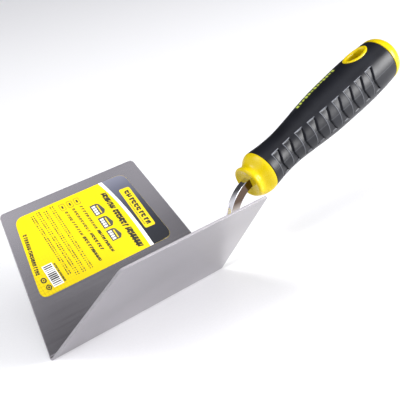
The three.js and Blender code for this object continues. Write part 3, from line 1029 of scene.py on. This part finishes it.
# %% Label film and inks
# Gloss polypropylene film, screen printed: flat bright yellow under a clear varnish. Towards its lower
# front corner a fine printed grid fades in.
def yellow_film():
    material, tree, shader = new_material(
        "varnished yellow film", Roughness=0.38, **{"Specular IOR Level": 0.3})
    flat = coordinates(tree, turn=(-math.pi / 4, 0, 0))
    place = add(tree, "ShaderNodeSeparateXYZ", {"Vector": flat}).outputs
    lines = []
    for axis in ("X", "Y"):
        cell = add(tree, "ShaderNodeMath", {0: place[axis], 1: 1 / (GRID_PITCH * MM)},
                   operation="MULTIPLY")
        part = add(tree, "ShaderNodeMath", {0: cell}, operation="FRACT")
        lines.append(add(tree, "ShaderNodeMath", {0: part, 1: 0.12}, operation="LESS_THAN"))
    either = add(tree, "ShaderNodeMath", {0: lines[0], 1: lines[1]}, operation="MAXIMUM")
    corner = on_wing(LABEL_FRONT, LABEL_LOW, 0)
    near = add(tree, "ShaderNodeVectorMath", {0: add(tree, "ShaderNodeTexCoord").outputs["Object"],
                                              1: tuple(corner)}, operation="DISTANCE").outputs["Value"]
    fade = add(tree, "ShaderNodeMapRange", {"Value": near, "From Min": 8 * MM, "From Max": 26 * MM,
                                            "To Min": 0.5, "To Max": 0.0})
    share = add(tree, "ShaderNodeMath", {0: either, 1: fade}, operation="MULTIPLY")
    mottle = add(tree, "ShaderNodeTexNoise", {"Vector": coordinates(tree), "Scale": 60.0, "Detail": 2.0})
    yellow = add(tree, "ShaderNodeValToRGB", {"Fac": mottle.outputs["Fac"]},
                 stops=[(0.3, "#e3c700"), (0.7, "#e9ce00")])
    mixed = add(tree, "ShaderNodeMix", {"Factor": share, "A": yellow, "B": linear("#7d7420")},
                data_type="RGBA")
    tree.links.new(mixed.outputs["Result"], shader.inputs["Base Color"])
    return material


# Screen inks. The header fades from slate grey at the wing's outer edge to near black by the fold.
def slate_header():
    material, tree, shader = new_material("slate printed header", Roughness=0.34)
    flat = coordinates(tree, turn=(-math.pi / 4, 0, 0))
    place = add(tree, "ShaderNodeSeparateXYZ", {"Vector": flat}).outputs
    middle = (on_wing(80, LABEL_LOW, 0), on_wing(80, LABEL_HIGH, 0))
    low, high = [(p.y + p.z) * HALF_ROOT for p in middle]
    across = add(tree, "ShaderNodeMapRange", {"Value": place["Y"], "From Min": low, "From Max": high})
    colour = add(tree, "ShaderNodeValToRGB", {"Fac": across},
                 stops=[(0.0, "#16181f"), (0.3, "#22242d"), (0.6, "#3c3e4b"), (0.85, "#5c5e6d"),
                        (1.0, "#737584")])
    tree.links.new(colour.outputs["Color"], shader.inputs["Base Color"])
    return material


def plain_ink(name, light, dark, roughness):
    """Screen ink whose density varies a little from place to place."""
    material, tree, shader = new_material(name, Roughness=roughness)
    density = add(tree, "ShaderNodeTexNoise", {"Vector": coordinates(tree), "Scale": 700.0, "Detail": 2.0})
    colour = add(tree, "ShaderNodeValToRGB", {"Fac": density.outputs["Fac"]},
                 stops=[(0.35, dark), (0.65, light)])
    tree.links.new(colour.outputs["Color"], shader.inputs["Base Color"])
    return material


black_ink = plain_ink("black screen ink", "#33311f", "#24221a", 0.45)
grey_ink = plain_ink("grey screen ink", "#4c4b48", "#434240", 0.4)
white_ink = plain_ink("white screen ink", "#f2f2f0", "#e6e6e6", 0.4)
badge_ink = plain_ink("yellow screen ink", "#e9ce00", "#e3c700", 0.4)
print("label inks ready")

# %% Layers of print
def layer(name, outlines, low, high):
    """Closed flat pieces over the wing, one for each outline of (u, v) points."""
    points, faces = [], []
    for outline in outlines:
        start, count = len(points), len(outline)
        for height in (low, high):
            points += [on_wing(u, v, height) for u, v in outline]
        faces.append(tuple(range(start, start + count)))
        faces.append(tuple(reversed(range(start + count, start + 2 * count))))
        for i in range(count):
            j = (i + 1) % count
            faces.append((start + i, start + j, start + count + j, start + count + i))
    return mesh_object(name, points, faces, smooth=False)


print("layers ready")


# %% Outlines
def rounded(corners, radius, steps=6):
    """An outline with its corners rounded. A corner may carry its own radius."""
    outline = []
    for i, corner in enumerate(corners):
        here = Vector(corner[:2])
        size = corner[2] if len(corner) > 2 else radius
        before = Vector(corners[i - 1][:2]) - here
        after = Vector(corners[(i + 1) % len(corners)][:2]) - here
        start, end = here + before.normalized() * size, here + after.normalized() * size
        if size == 0:
            outline.append(tuple(here))
            continue
        for step in range(steps + 1):
            f = step / steps
            outline.append(tuple(start * (1 - f) ** 2 + here * 2 * f * (1 - f) + end * f * f))
    return outline


def disc(u, v, radius, inner=0.0, steps=20):
    """A round outline, or a ring drawn as one band when it has an inner radius."""
    turns = [2 * math.pi * i / steps for i in range(steps + (1 if inner else 0))]
    outline = [(u + radius * math.cos(a), v + radius * math.sin(a)) for a in turns]
    if inner:
        outline += [(u + inner * math.cos(a), v + inner * math.sin(a)) for a in reversed(turns)]
    return outline


def band_edge(base, bow, power, v):
    """u of a curved edge of the white band at a height up the wing."""
    return base - bow * label_share(v) ** power


print("outlines ready")


# %% The film and its large shapes
label_outline = rounded([(LABEL_FRONT, LABEL_LOW), (LABEL_REAR, LABEL_LOW),
                         (LABEL_REAR - LABEL_REAR_SLANT, LABEL_HIGH),
                         (LABEL_FRONT + LABEL_FRONT_SLANT, LABEL_HIGH)], 4.6)
film = layer("label_film", [label_outline], 0.01, FILM)
dress(film, yellow_film())
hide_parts("label")

heights = [LABEL_LOW + (LABEL_HIGH - LABEL_LOW) * i / 16 for i in range(17)]
yellow_side = [(band_edge(74.2, 4.6, 3.2, v), v) for v in heights]
dark_side = [(band_edge(76.3, 4.5, 2.5, v), v) for v in heights]
PRINT_1, PRINT_2, PRINT_3 = FILM + 0.02, FILM + 0.04, FILM + 0.06
band = layer("label_band", [yellow_side + dark_side[::-1]], FILM, PRINT_1)
dress(band, white_ink)

INSET = 0.05
rear_edge = rounded([(60, LABEL_LOW + INSET, 0), (LABEL_REAR - INSET, LABEL_LOW + INSET),
                     (LABEL_REAR - LABEL_REAR_SLANT - INSET, LABEL_HIGH - INSET),
                     (60, LABEL_HIGH - INSET, 0)], 4.6)[1:-1]
header = layer("label_header", [dark_side[::-1] + rear_edge], FILM, PRINT_1)
dress(header, slate_header())

badge = layer("label_badge", [rounded([(77.6, 37.2), (83.9, 37.0), (83.5, 61.6), (77.2, 62.0)], 1.1)],
              PRINT_1, PRINT_2)
dress(badge, badge_ink)
print("film and header ready")

# %% Plates, bar code ground and other blocks
PLATES = (57.1, 49.3, 41.6)            # v of the middle of each plate
plates = []
whites = []
accents = []
for v in PLATES:
    plates.append(rounded([(58.3, v - 3.2, 0), (63.4, v - 3.2, 0.4), (64.8, v - 1.4, 0.6),
                           (63.4, v + 2.7, 0.8), (62.0, v + 3.2, 0.3), (58.3, v + 3.2, 0)], 0.4))
    for k in range(4):
        low = v - 2.6 + 1.35 * k
        whites.append([(59.0, low), (61.0, low), (61.0, low + 0.95), (59.0, low + 0.95)])
    accents.append([(61.8, v - 2.5), (62.5, v - 2.5), (62.5, v + 2.2), (61.8, v + 2.2)])
dress(layer("label_plates", plates, FILM, PRINT_1), grey_ink)
whites.append([(19.8, 30.4), (25.3, 30.4), (25.3, 42.1), (19.8, 42.1)])
dress(layer("label_whites", whites, FILM, PRINT_2), white_ink)
dress(layer("label_accents", accents, PRINT_1, PRINT_2), badge_ink)

icons = []
for u in (54.3, 50.2, 45.9):
    outside = rounded([(u - 1.5, 63.8), (u + 1.5, 63.8), (u + 1.5, 67.5), (u - 1.5, 67.5)], 0.7)
    inside = rounded([(u - 1.32, 63.98), (u + 1.32, 63.98), (u + 1.32, 67.32), (u - 1.32, 67.32)], 0.6)
    icons.append(outside + outside[:1] + inside[:1] + inside[::-1])
    icons.append([(u - 0.45, 64.9), (u + 0.45, 64.9), (u + 0.45, 66.4), (u - 0.45, 66.4)])
icons += [disc(17.2, 35.6, 1.45, 0.8), disc(17.2, 35.6, 0.4), disc(17.7, 31.5, 1.45, 0.9),
          [(17.2, 31.0), (18.2, 31.0), (18.2, 32.0), (17.2, 32.0)]]
dress(layer("label_icons", icons, PRINT_1, PRINT_2), black_ink)
print("blocks ready")

# %% [markdown]
# Rows of small print repeat, so Geometry Nodes set them: a grid of points with one mark on each, picked
# and stretched at random from a fixed seed, so that a row looks like words without being any.

# %% Marks and bars in rows
# Shapes of a mark as blocks of (x, y, width, height) in shares of its box. None of them is a letter.
MARKS = [[(-0.33, 0.0, 0.34, 1.0), (0.1, -0.22, 0.6, 0.22), (0.38, 0.1, 0.24, 0.8)],
         [(-0.36, 0.1, 0.28, 0.8), (0.08, 0.3, 0.7, 0.26), (0.1, -0.35, 0.5, 0.3)],
         [(-0.3, -0.05, 0.3, 0.9), (0.2, 0.22, 0.5, 0.5), (0.3, -0.35, 0.3, 0.26)],
         [(0.0, 0.0, 0.36, 1.0), (0.3, 0.36, 0.4, 0.26)]]


print("marks:", len(MARKS))


# %% A tree for rows of print
def print_tree(length, rows, row_pitch, pitch, bar_long, bar_high, least, seed, weight):
    """Rows of marks, whose blocks grow by the weight. With weight 0 each mark is a plain bar."""
    t = Tree("rows of print", **{"Line length": length, "Row pitch": row_pitch, "Bar length": bar_long,
                                 "Bar height": bar_high, "Least share": least, "Seed": seed,
                                 "Bar pitch": pitch, "Rows": rows})
    tree, size = t.tree, t.inputs
    spaces = add(tree, "ShaderNodeMath", {0: size["Line length"], 1: size["Bar pitch"]},
                 operation="DIVIDE")
    across = add(tree, "FunctionNodeFloatToInt",
                 {0: add(tree, "ShaderNodeMath", {0: spaces, 1: 1.0}, operation="ADD")})
    down = add(tree, "FunctionNodeFloatToInt", {0: size["Rows"]})
    row_spaces = add(tree, "ShaderNodeMath", {0: size["Rows"], 1: 1.0}, operation="SUBTRACT")
    deep = add(tree, "ShaderNodeMath", {0: row_spaces, 1: size["Row pitch"]}, operation="MULTIPLY")
    grid = add(tree, "GeometryNodeMeshGrid", {"Size X": size["Line length"], "Size Y": deep,
                                              "Vertices X": across, "Vertices Y": down})
    box = add(tree, "ShaderNodeCombineXYZ", {"X": size["Bar length"], "Y": size["Bar height"],
                                             "Z": 0.02})
    choices = add(tree, "GeometryNodeGeometryToInstance")
    for blocks in (MARKS if weight else [[(0, 0, 1, 1)]]):
        mark = add(tree, "GeometryNodeJoinGeometry")
        for x, y, wide, high in blocks:
            block = add(tree, "GeometryNodeMeshCube", {"Size": (wide + weight, high + weight, 1.0)})
            moved = add(tree, "GeometryNodeTransform", {"Geometry": block, "Translation": (x, y, 0.0)})
            tree.links.new(moved.outputs[0], mark.inputs[0])
        sized = add(tree, "GeometryNodeTransform", {"Geometry": mark, "Scale": box})
        tree.links.new(sized.outputs[0], choices.inputs[0])
    seed_number = add(tree, "FunctionNodeFloatToInt", {0: size["Seed"]})
    # A random value's sockets go by number: 2 and 3 are its least and most, 4 and 5 as whole numbers.
    share = add(tree, "FunctionNodeRandomValue", {2: size["Least share"], 3: 1.0, "Seed": seed_number},
                data_type="FLOAT")
    which = add(tree, "FunctionNodeRandomValue",
                {4: 0, 5: len(MARKS) - 1 if weight else 0, "Seed": seed_number}, data_type="INT")
    stretch = add(tree, "ShaderNodeCombineXYZ", {"X": share.outputs[1], "Y": 1.0, "Z": 1.0})
    bars = add(tree, "GeometryNodeInstanceOnPoints",
               {"Points": grid, "Instance": choices, "Pick Instance": True,
                "Instance Index": which.outputs[2], "Scale": stretch})
    t.finish(bars, black_ink)
    return t


print("print tree ready")

# %% Rows on the label
# Each row: name, u and v of its middle, rise of the line in u over its length, slant of its marks, and
# the tree's sizes: line length, rows, row pitch, bar pitch, bar length, bar height, least share, seed
# and weight.
ROWS = [
    ("title_a", 69.0, 59.0, 0.0, 0.2, (8.4, 1, 1, 1.42, 1.24, 2.6, 0.88, 3, 0.2)),
    ("title_b", 69.25, 47.9, 0.0, 0.2, (9.0, 1, 1, 1.5, 1.32, 2.75, 0.9, 4, 0.22)),
    ("title_c", 69.5, 35.8, 0.0, 0.2, (10.2, 1, 1, 1.62, 1.45, 2.9, 0.9, 8, 0.24)),
    ("line_a1", 54.75, 55.4, 0.3, 0.15, (13.5, 1, 1, 1.5, 1.3, 1.35, 0.7, 11, 0.06)),
    ("line_a2", 55.3, 40.3, 0.3, 0.15, (12.0, 1, 1, 1.5, 1.35, 1.45, 0.75, 14, 0.16)),
    ("line_b1", 50.55, 55.4, 0.3, 0.15, (13.5, 1, 1, 1.5, 1.3, 1.35, 0.7, 12, 0.06)),
    ("line_b2", 51.1, 42.0, 0.3, 0.15, (9.0, 1, 1, 1.5, 1.35, 1.45, 0.75, 15, 0.16)),
    ("line_c1", 46.35, 55.4, 0.3, 0.15, (13.5, 1, 1, 1.5, 1.3, 1.35, 0.7, 13, 0.06)),
    ("line_c2", 46.9, 39.6, 0.3, 0.15, (13.5, 1, 1, 1.5, 1.35, 1.45, 0.75, 16, 0.16)),
    ("fine_a", 41.0, 49.6, 0.0, 0.0, (36.8, 2, 1.3, 1.15, 0.95, 0.6, 0.2, 21, 0)),
    ("fine_b", 37.0, 49.2, 0.0, 0.0, (35.9, 2, 1.3, 1.15, 0.95, 0.6, 0.2, 22, 0)),
    ("fine_c", 33.3, 49.6, 0.0, 0.0, (36.8, 2, 1.3, 1.15, 0.95, 0.6, 0.2, 23, 0)),
    ("fine_d", 29.9, 50.4, 0.0, 0.0, (34.0, 2, 1.2, 1.15, 0.95, 0.56, 0.2, 24, 0)),
    ("address", 18.9, 49.8, -5.0, 0.1, (20.4, 1, 1, 1.2, 1.05, 1.8, 0.8, 31, 0.14)),
    ("code", 26.2, 35.9, 0.0, 0.0, (9.6, 1, 1, 0.96, 0.85, 0.95, 0.8, 41, 0.14)),
    ("bars", 22.55, 36.25, 0.0, 0.0, (10.1, 1, 1, 1.01, 0.8, 4.4, 0.3, 51, 0)),
    ("badge_mark", 80.8, 49.4, 0.35, 0.0, (19.6, 1, 1, 2.17, 1.8, 2.4, 0.85, 61, 0.16)),
    ("badge_line", 78.5, 46.4, 0.2, 0.0, (11.5, 1, 1, 2.9, 2.8, 0.28, 0.9, 62, 0)),
]


def set_row(name, u, v, rise, slant, sizes):
    """Makes a row of print and lays it on the label, reading from the outer edge to the fold."""
    row = print_tree(*sizes).grow(name)
    length = sizes[0]
    over = PRINT_3 if name.startswith("badge") or name == "bars" else PRINT_2
    points = []
    for vertex in row.data.vertices:
        x, y, z = vertex.co
        points.append(on_wing(u + y + rise * x / length, v - x - slant * y, over + z))
    faces = [tuple(p.vertices) for p in row.data.polygons]
    bpy.data.objects.remove(row)
    return points, faces


print("rows of print:", len(ROWS))

# %% Set all rows
points, faces = [], []
for job in ROWS:
    more_points, more_faces = set_row(*job)
    faces += [tuple(i + len(points) for i in face) for face in more_faces]
    points += more_points
print_piece = mesh_object("label_print", points, faces, smooth=False)
dress(print_piece, black_ink)
print("label print:", len(print_piece.data.polygons), "faces")

# %% [markdown]
# ## Weld beads
# A fillet of weld runs along each side of the tang's foot. Laid by hand, it is a row of overlapping
# puddles, about 1.6 mm apart. Geometry Nodes shape it from a cylinder: a ripple for the puddles, noise
# for the unsteady hand, and a taper where each bead starts and stops. It could be displaced by a
# texture, but real ripples keep their shape at the bead's outline.

# %% Weld metal
# Stainless filler, wire brushed after welding: a dull grey bead with straw and blue heat tints.
def weld_metal():
    material, tree, shader = new_material("brushed stainless weld", Metallic=1.0)
    heat = add(tree, "ShaderNodeTexNoise", {"Vector": coordinates(tree), "Scale": 130.0, "Detail": 3.0})
    tone = add(tree, "ShaderNodeValToRGB", {"Fac": heat.outputs["Fac"]},
               stops=[(0.3, "#6d6f78"), (0.5, "#8f8b86"), (0.7, "#9d8f76")])
    tree.links.new(tone.outputs["Color"], shader.inputs["Base Color"])
    brush = add(tree, "ShaderNodeTexNoise", {"Vector": coordinates(tree), "Scale": 1500.0, "Detail": 2.0})
    rough = add(tree, "ShaderNodeMapRange", {"Value": brush.outputs["Fac"], "From Min": 0.3,
                                             "From Max": 0.7, "To Min": 0.35, "To Max": 0.55})
    tree.links.new(rough.outputs["Result"], shader.inputs["Roughness"])
    bump = add(tree, "ShaderNodeBump", {"Height": brush.outputs["Fac"], "Strength": 0.2,
                                        "Distance": 0.0001})
    tree.links.new(bump.outputs[0], shader.inputs["Normal"])
    return material


bead_steel = weld_metal()
print("made", bead_steel.name)

# %% Shape of a bead
WELD_FRONT, WELD_REAR = 52.0, 92.0
BEAD_OUT, BEAD_UP = 3.55, 6.35         # the bead's middle, out from the fold's plane and up


def bead_tree(side, seed):
    t = Tree("weld bead", **{"Front": WELD_FRONT, "Rear": WELD_REAR, "Radius": 1.3, "Puddle pitch": 1.6,
                             "Ripple": 0.12, "Out": side * BEAD_OUT, "Up": BEAD_UP, "Seed": seed})
    tree, size = t.tree, t.inputs
    round_bar = add(tree, "GeometryNodeMeshCylinder",
                    {"Vertices": 18, "Side Segments": 240, "Radius": 1.0, "Depth": 1.0})
    straight_place = add(tree, "GeometryNodeInputPosition")
    place = add(tree, "ShaderNodeSeparateXYZ", {"Vector": straight_place}).outputs
    share = add(tree, "ShaderNodeMath", {0: place["Z"], 1: 0.5}, operation="ADD")
    length = add(tree, "ShaderNodeMath", {0: size["Rear"], 1: size["Front"]}, operation="SUBTRACT")
    run = add(tree, "ShaderNodeMath", {0: share, 1: length}, operation="MULTIPLY")

    # Each puddle swells and falls away again.
    puddles = add(tree, "ShaderNodeMath", {0: run, 1: size["Puddle pitch"]}, operation="DIVIDE")
    phase = add(tree, "ShaderNodeMath", {0: puddles, 1: math.pi}, operation="MULTIPLY")
    sine = add(tree, "ShaderNodeMath", {0: phase}, operation="SINE")
    wave = add(tree, "ShaderNodeMath", {0: sine}, operation="ABSOLUTE")
    puddle = add(tree, "ShaderNodeMath", {0: wave, 1: size["Ripple"]}, operation="MULTIPLY")

    # The bead closes down at both ends.
    from_middle = add(tree, "ShaderNodeMath", {0: place["Z"], 1: 2.0}, operation="MULTIPLY")
    far = add(tree, "ShaderNodeMath", {0: from_middle}, operation="ABSOLUTE")
    end = add(tree, "ShaderNodeMath", {0: far, 1: 24.0}, operation="POWER")
    left = add(tree, "ShaderNodeMath", {0: 1.0, 1: end}, operation="SUBTRACT")
    floored = add(tree, "ShaderNodeMath", {0: left, 1: 0.09}, operation="MAXIMUM")
    taper = add(tree, "ShaderNodeMath", {0: floored}, operation="SQRT")

    # The hand is unsteady, so the bead's thickness wanders.
    spot = add(tree, "ShaderNodeCombineXYZ", {"X": run, "Y": size["Seed"]})
    hand = add(tree, "ShaderNodeTexNoise", {"Vector": spot, "Scale": 0.35, "Detail": 1.0})
    centred = add(tree, "ShaderNodeMath", {0: hand.outputs["Fac"], 1: 0.5}, operation="SUBTRACT")
    unsteady = add(tree, "ShaderNodeMath", {0: centred, 1: 0.3}, operation="MULTIPLY")
    rough_wave = add(tree, "ShaderNodeMath", {0: puddle, 1: unsteady}, operation="ADD")
    swell = add(tree, "ShaderNodeMath", {0: rough_wave, 1: 0.92}, operation="ADD")
    closed = add(tree, "ShaderNodeMath", {0: swell, 1: taper}, operation="MULTIPLY")
    radius = add(tree, "ShaderNodeMath", {0: closed, 1: size["Radius"]}, operation="MULTIPLY")

    x = add(tree, "ShaderNodeMath", {0: run, 1: size["Front"]}, operation="ADD")
    y = add(tree, "ShaderNodeMath", {0: place["X"], 1: radius, 2: size["Out"]},
            operation="MULTIPLY_ADD")
    z = add(tree, "ShaderNodeMath", {0: place["Y"], 1: radius, 2: size["Up"]},
            operation="MULTIPLY_ADD")
    bead_place = add(tree, "ShaderNodeCombineXYZ", {"X": x, "Y": y, "Z": z})
    metres = add(tree, "ShaderNodeVectorMath", {0: bead_place, "Scale": MM}, operation="SCALE")
    placed = add(tree, "ShaderNodeVectorMath", {0: metres, 1: tuple(CORNER)}, operation="ADD")
    t.finish(add(tree, "GeometryNodeSetPosition", {"Geometry": round_bar, "Position": placed}),
             bead_steel)
    return t


print("bead:", WELD_REAR - WELD_FRONT, "mm long")

# %% Two beads
for name, side, seed in (("weld_left", 1, 3.0), ("weld_right", -1, 9.0)):
    raw = bead_tree(side, seed).grow(name + "_raw")
    bead = mesh_object(name + "_bead", [v.co for v in raw.data.vertices],
                       [tuple(p.vertices) for p in raw.data.polygons])
    bpy.data.objects.remove(raw)
    dress(bead, bead_steel)
    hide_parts(name)
    print(bead.name, len(bead.data.polygons), "faces")

# %% [markdown]
# ## Floor and light
# The trowel rests on its fold on a pale floor, under soft light. The floor and most of the world are
# near white, so the wing that faces down mirrors them. Dark patches hang high in the world, and the
# wing that faces up mirrors one of them. Two soft boxes make the long highlights on the handle. An
# image of a real studio could light it too, but patches in named directions are easy to move.

# %% Floor
def matt_paper():
    material, tree, shader = new_material("matt white background paper", Roughness=0.9)
    fibre = add(tree, "ShaderNodeTexNoise", {"Vector": coordinates(tree), "Scale": 900.0, "Detail": 3.0})
    tone = add(tree, "ShaderNodeValToRGB", {"Fac": fibre.outputs["Fac"]},
               stops=[(0.3, "#f4f4f5"), (0.7, "#f7f7f8")])
    tree.links.new(tone.outputs["Color"], shader.inputs["Base Color"])
    return material


floor = mesh_object("floor", [(-6, -6, 0), (6, -6, 0), (6, 6, 0), (-6, 6, 0)], [(0, 1, 2, 3)])
floor.data.materials.append(matt_paper())
print("floor ready")

# %% World
# Level of light by direction. Each patch is (direction, inner and outer angle in degrees, amount).
SURROUND = 1.05
LEAST = 0.06
PATCHES = [((0.40, -0.64, 0.66), 14, 25, -0.95),   # dark, high over the near side of the handle
           ((0.45, 0.62, 0.64), 34, 60, -0.98),    # dark, high behind the tool
           ((0.60, -0.08, 0.80), 6, 25, 0.5),      # light panel, overhead towards the handle
           ((0.30, -0.10, 0.95), 5, 22, 0.35),     # light panel, overhead
           ((-0.85, -0.35, 0.35), 15, 55, 0.7),    # light, beyond the blade's free end
           ((-0.60, -0.72, 0.32), 10, 24, -1.6),   # dark, where the camera stands
           ((0.95, -0.10, 0.25), 20, 55, -0.45)]   # dark, behind the end of the handle


def studio_world():
    """A soft surround with patches of more and less light."""
    world = bpy.data.worlds.new("studio")
    world.use_nodes = True
    tree = world.node_tree
    way = add(tree, "ShaderNodeTexCoord").outputs["Generated"]
    total = SURROUND
    for direction, inner, outer, amount in PATCHES:
        facing = add(tree, "ShaderNodeVectorMath", {0: way, 1: Vector(direction).normalized()},
                     operation="DOT_PRODUCT").outputs["Value"]
        patch = add(tree, "ShaderNodeMapRange",
                    {"Value": facing, "From Min": math.cos(math.radians(outer)),
                     "From Max": math.cos(math.radians(inner)), "To Min": 0.0, "To Max": amount},
                    interpolation_type="SMOOTHSTEP")
        total = add(tree, "ShaderNodeMath", {0: total, 1: patch}, operation="ADD")
    lit = add(tree, "ShaderNodeMath", {0: total, 1: LEAST}, operation="MAXIMUM")
    tree.links.new(lit.outputs[0], tree.nodes["Background"].inputs["Strength"])
    tree.nodes["Background"].inputs["Color"].default_value = linear("#fbfbff")
    bpy.context.scene.world = world


studio_world()
print("world ready")

# %% Soft boxes
def soft_box(name, way, distance, wide, high, power):
    """An area light that looks at the trowel from a direction."""
    data = bpy.data.lights.new(name, "AREA")
    data.shape = "RECTANGLE"
    data.size, data.size_y = wide, high
    data.energy = power
    box = bpy.data.objects.new(name, data)
    bpy.context.collection.objects.link(box)
    target = at(120, 0, 40)
    box.location = target + Vector(way).normalized() * distance
    box.rotation_euler = Vector(way).to_track_quat("Z", "Y").to_euler()
    return box


soft_box("key box", (-0.42, 0.1, 0.9), 1.2, 0.7, 0.5, 5.0)
soft_box("side box", (0.66, -0.70, 0.30), 1.2, 0.65, 0.5, 21.0)
bpy.context.scene.view_settings.view_transform = "Standard"
print("lights ready")

# %% [markdown]
# ## Camera
# A long lens from a distance keeps the two wings nearly parallel, as a product picture does. A camera
# can be aimed with a constraint, but three directions give its turn exactly: where it looks, what is
# up, and the right-hand side that follows from them.

# %% Camera
# It stands on the near side, beyond the free end of the fold, and looks about 21 degrees down.
LENS = 76.3
CAMERA_PLACE = (-122.91, -314.16, 190.38)
LOOK = (0.532, 0.764, -0.365)
ROUGHLY_UP = (0.366, 0.181, 0.913)

camera_data = bpy.data.cameras.new("camera")
camera_data.lens = LENS
camera = bpy.data.objects.new("camera", camera_data)
bpy.context.collection.objects.link(camera)
look = Vector(LOOK).normalized()
right = look.cross(Vector(ROUGHLY_UP)).normalized()
up = right.cross(look)
turn = Matrix((right, up, -look)).transposed()
camera.matrix_world = Matrix.Translation(at(*CAMERA_PLACE)) @ turn.to_4x4()
bpy.context.scene.camera = camera
print("camera at", tuple(round(c, 3) for c in camera.location))
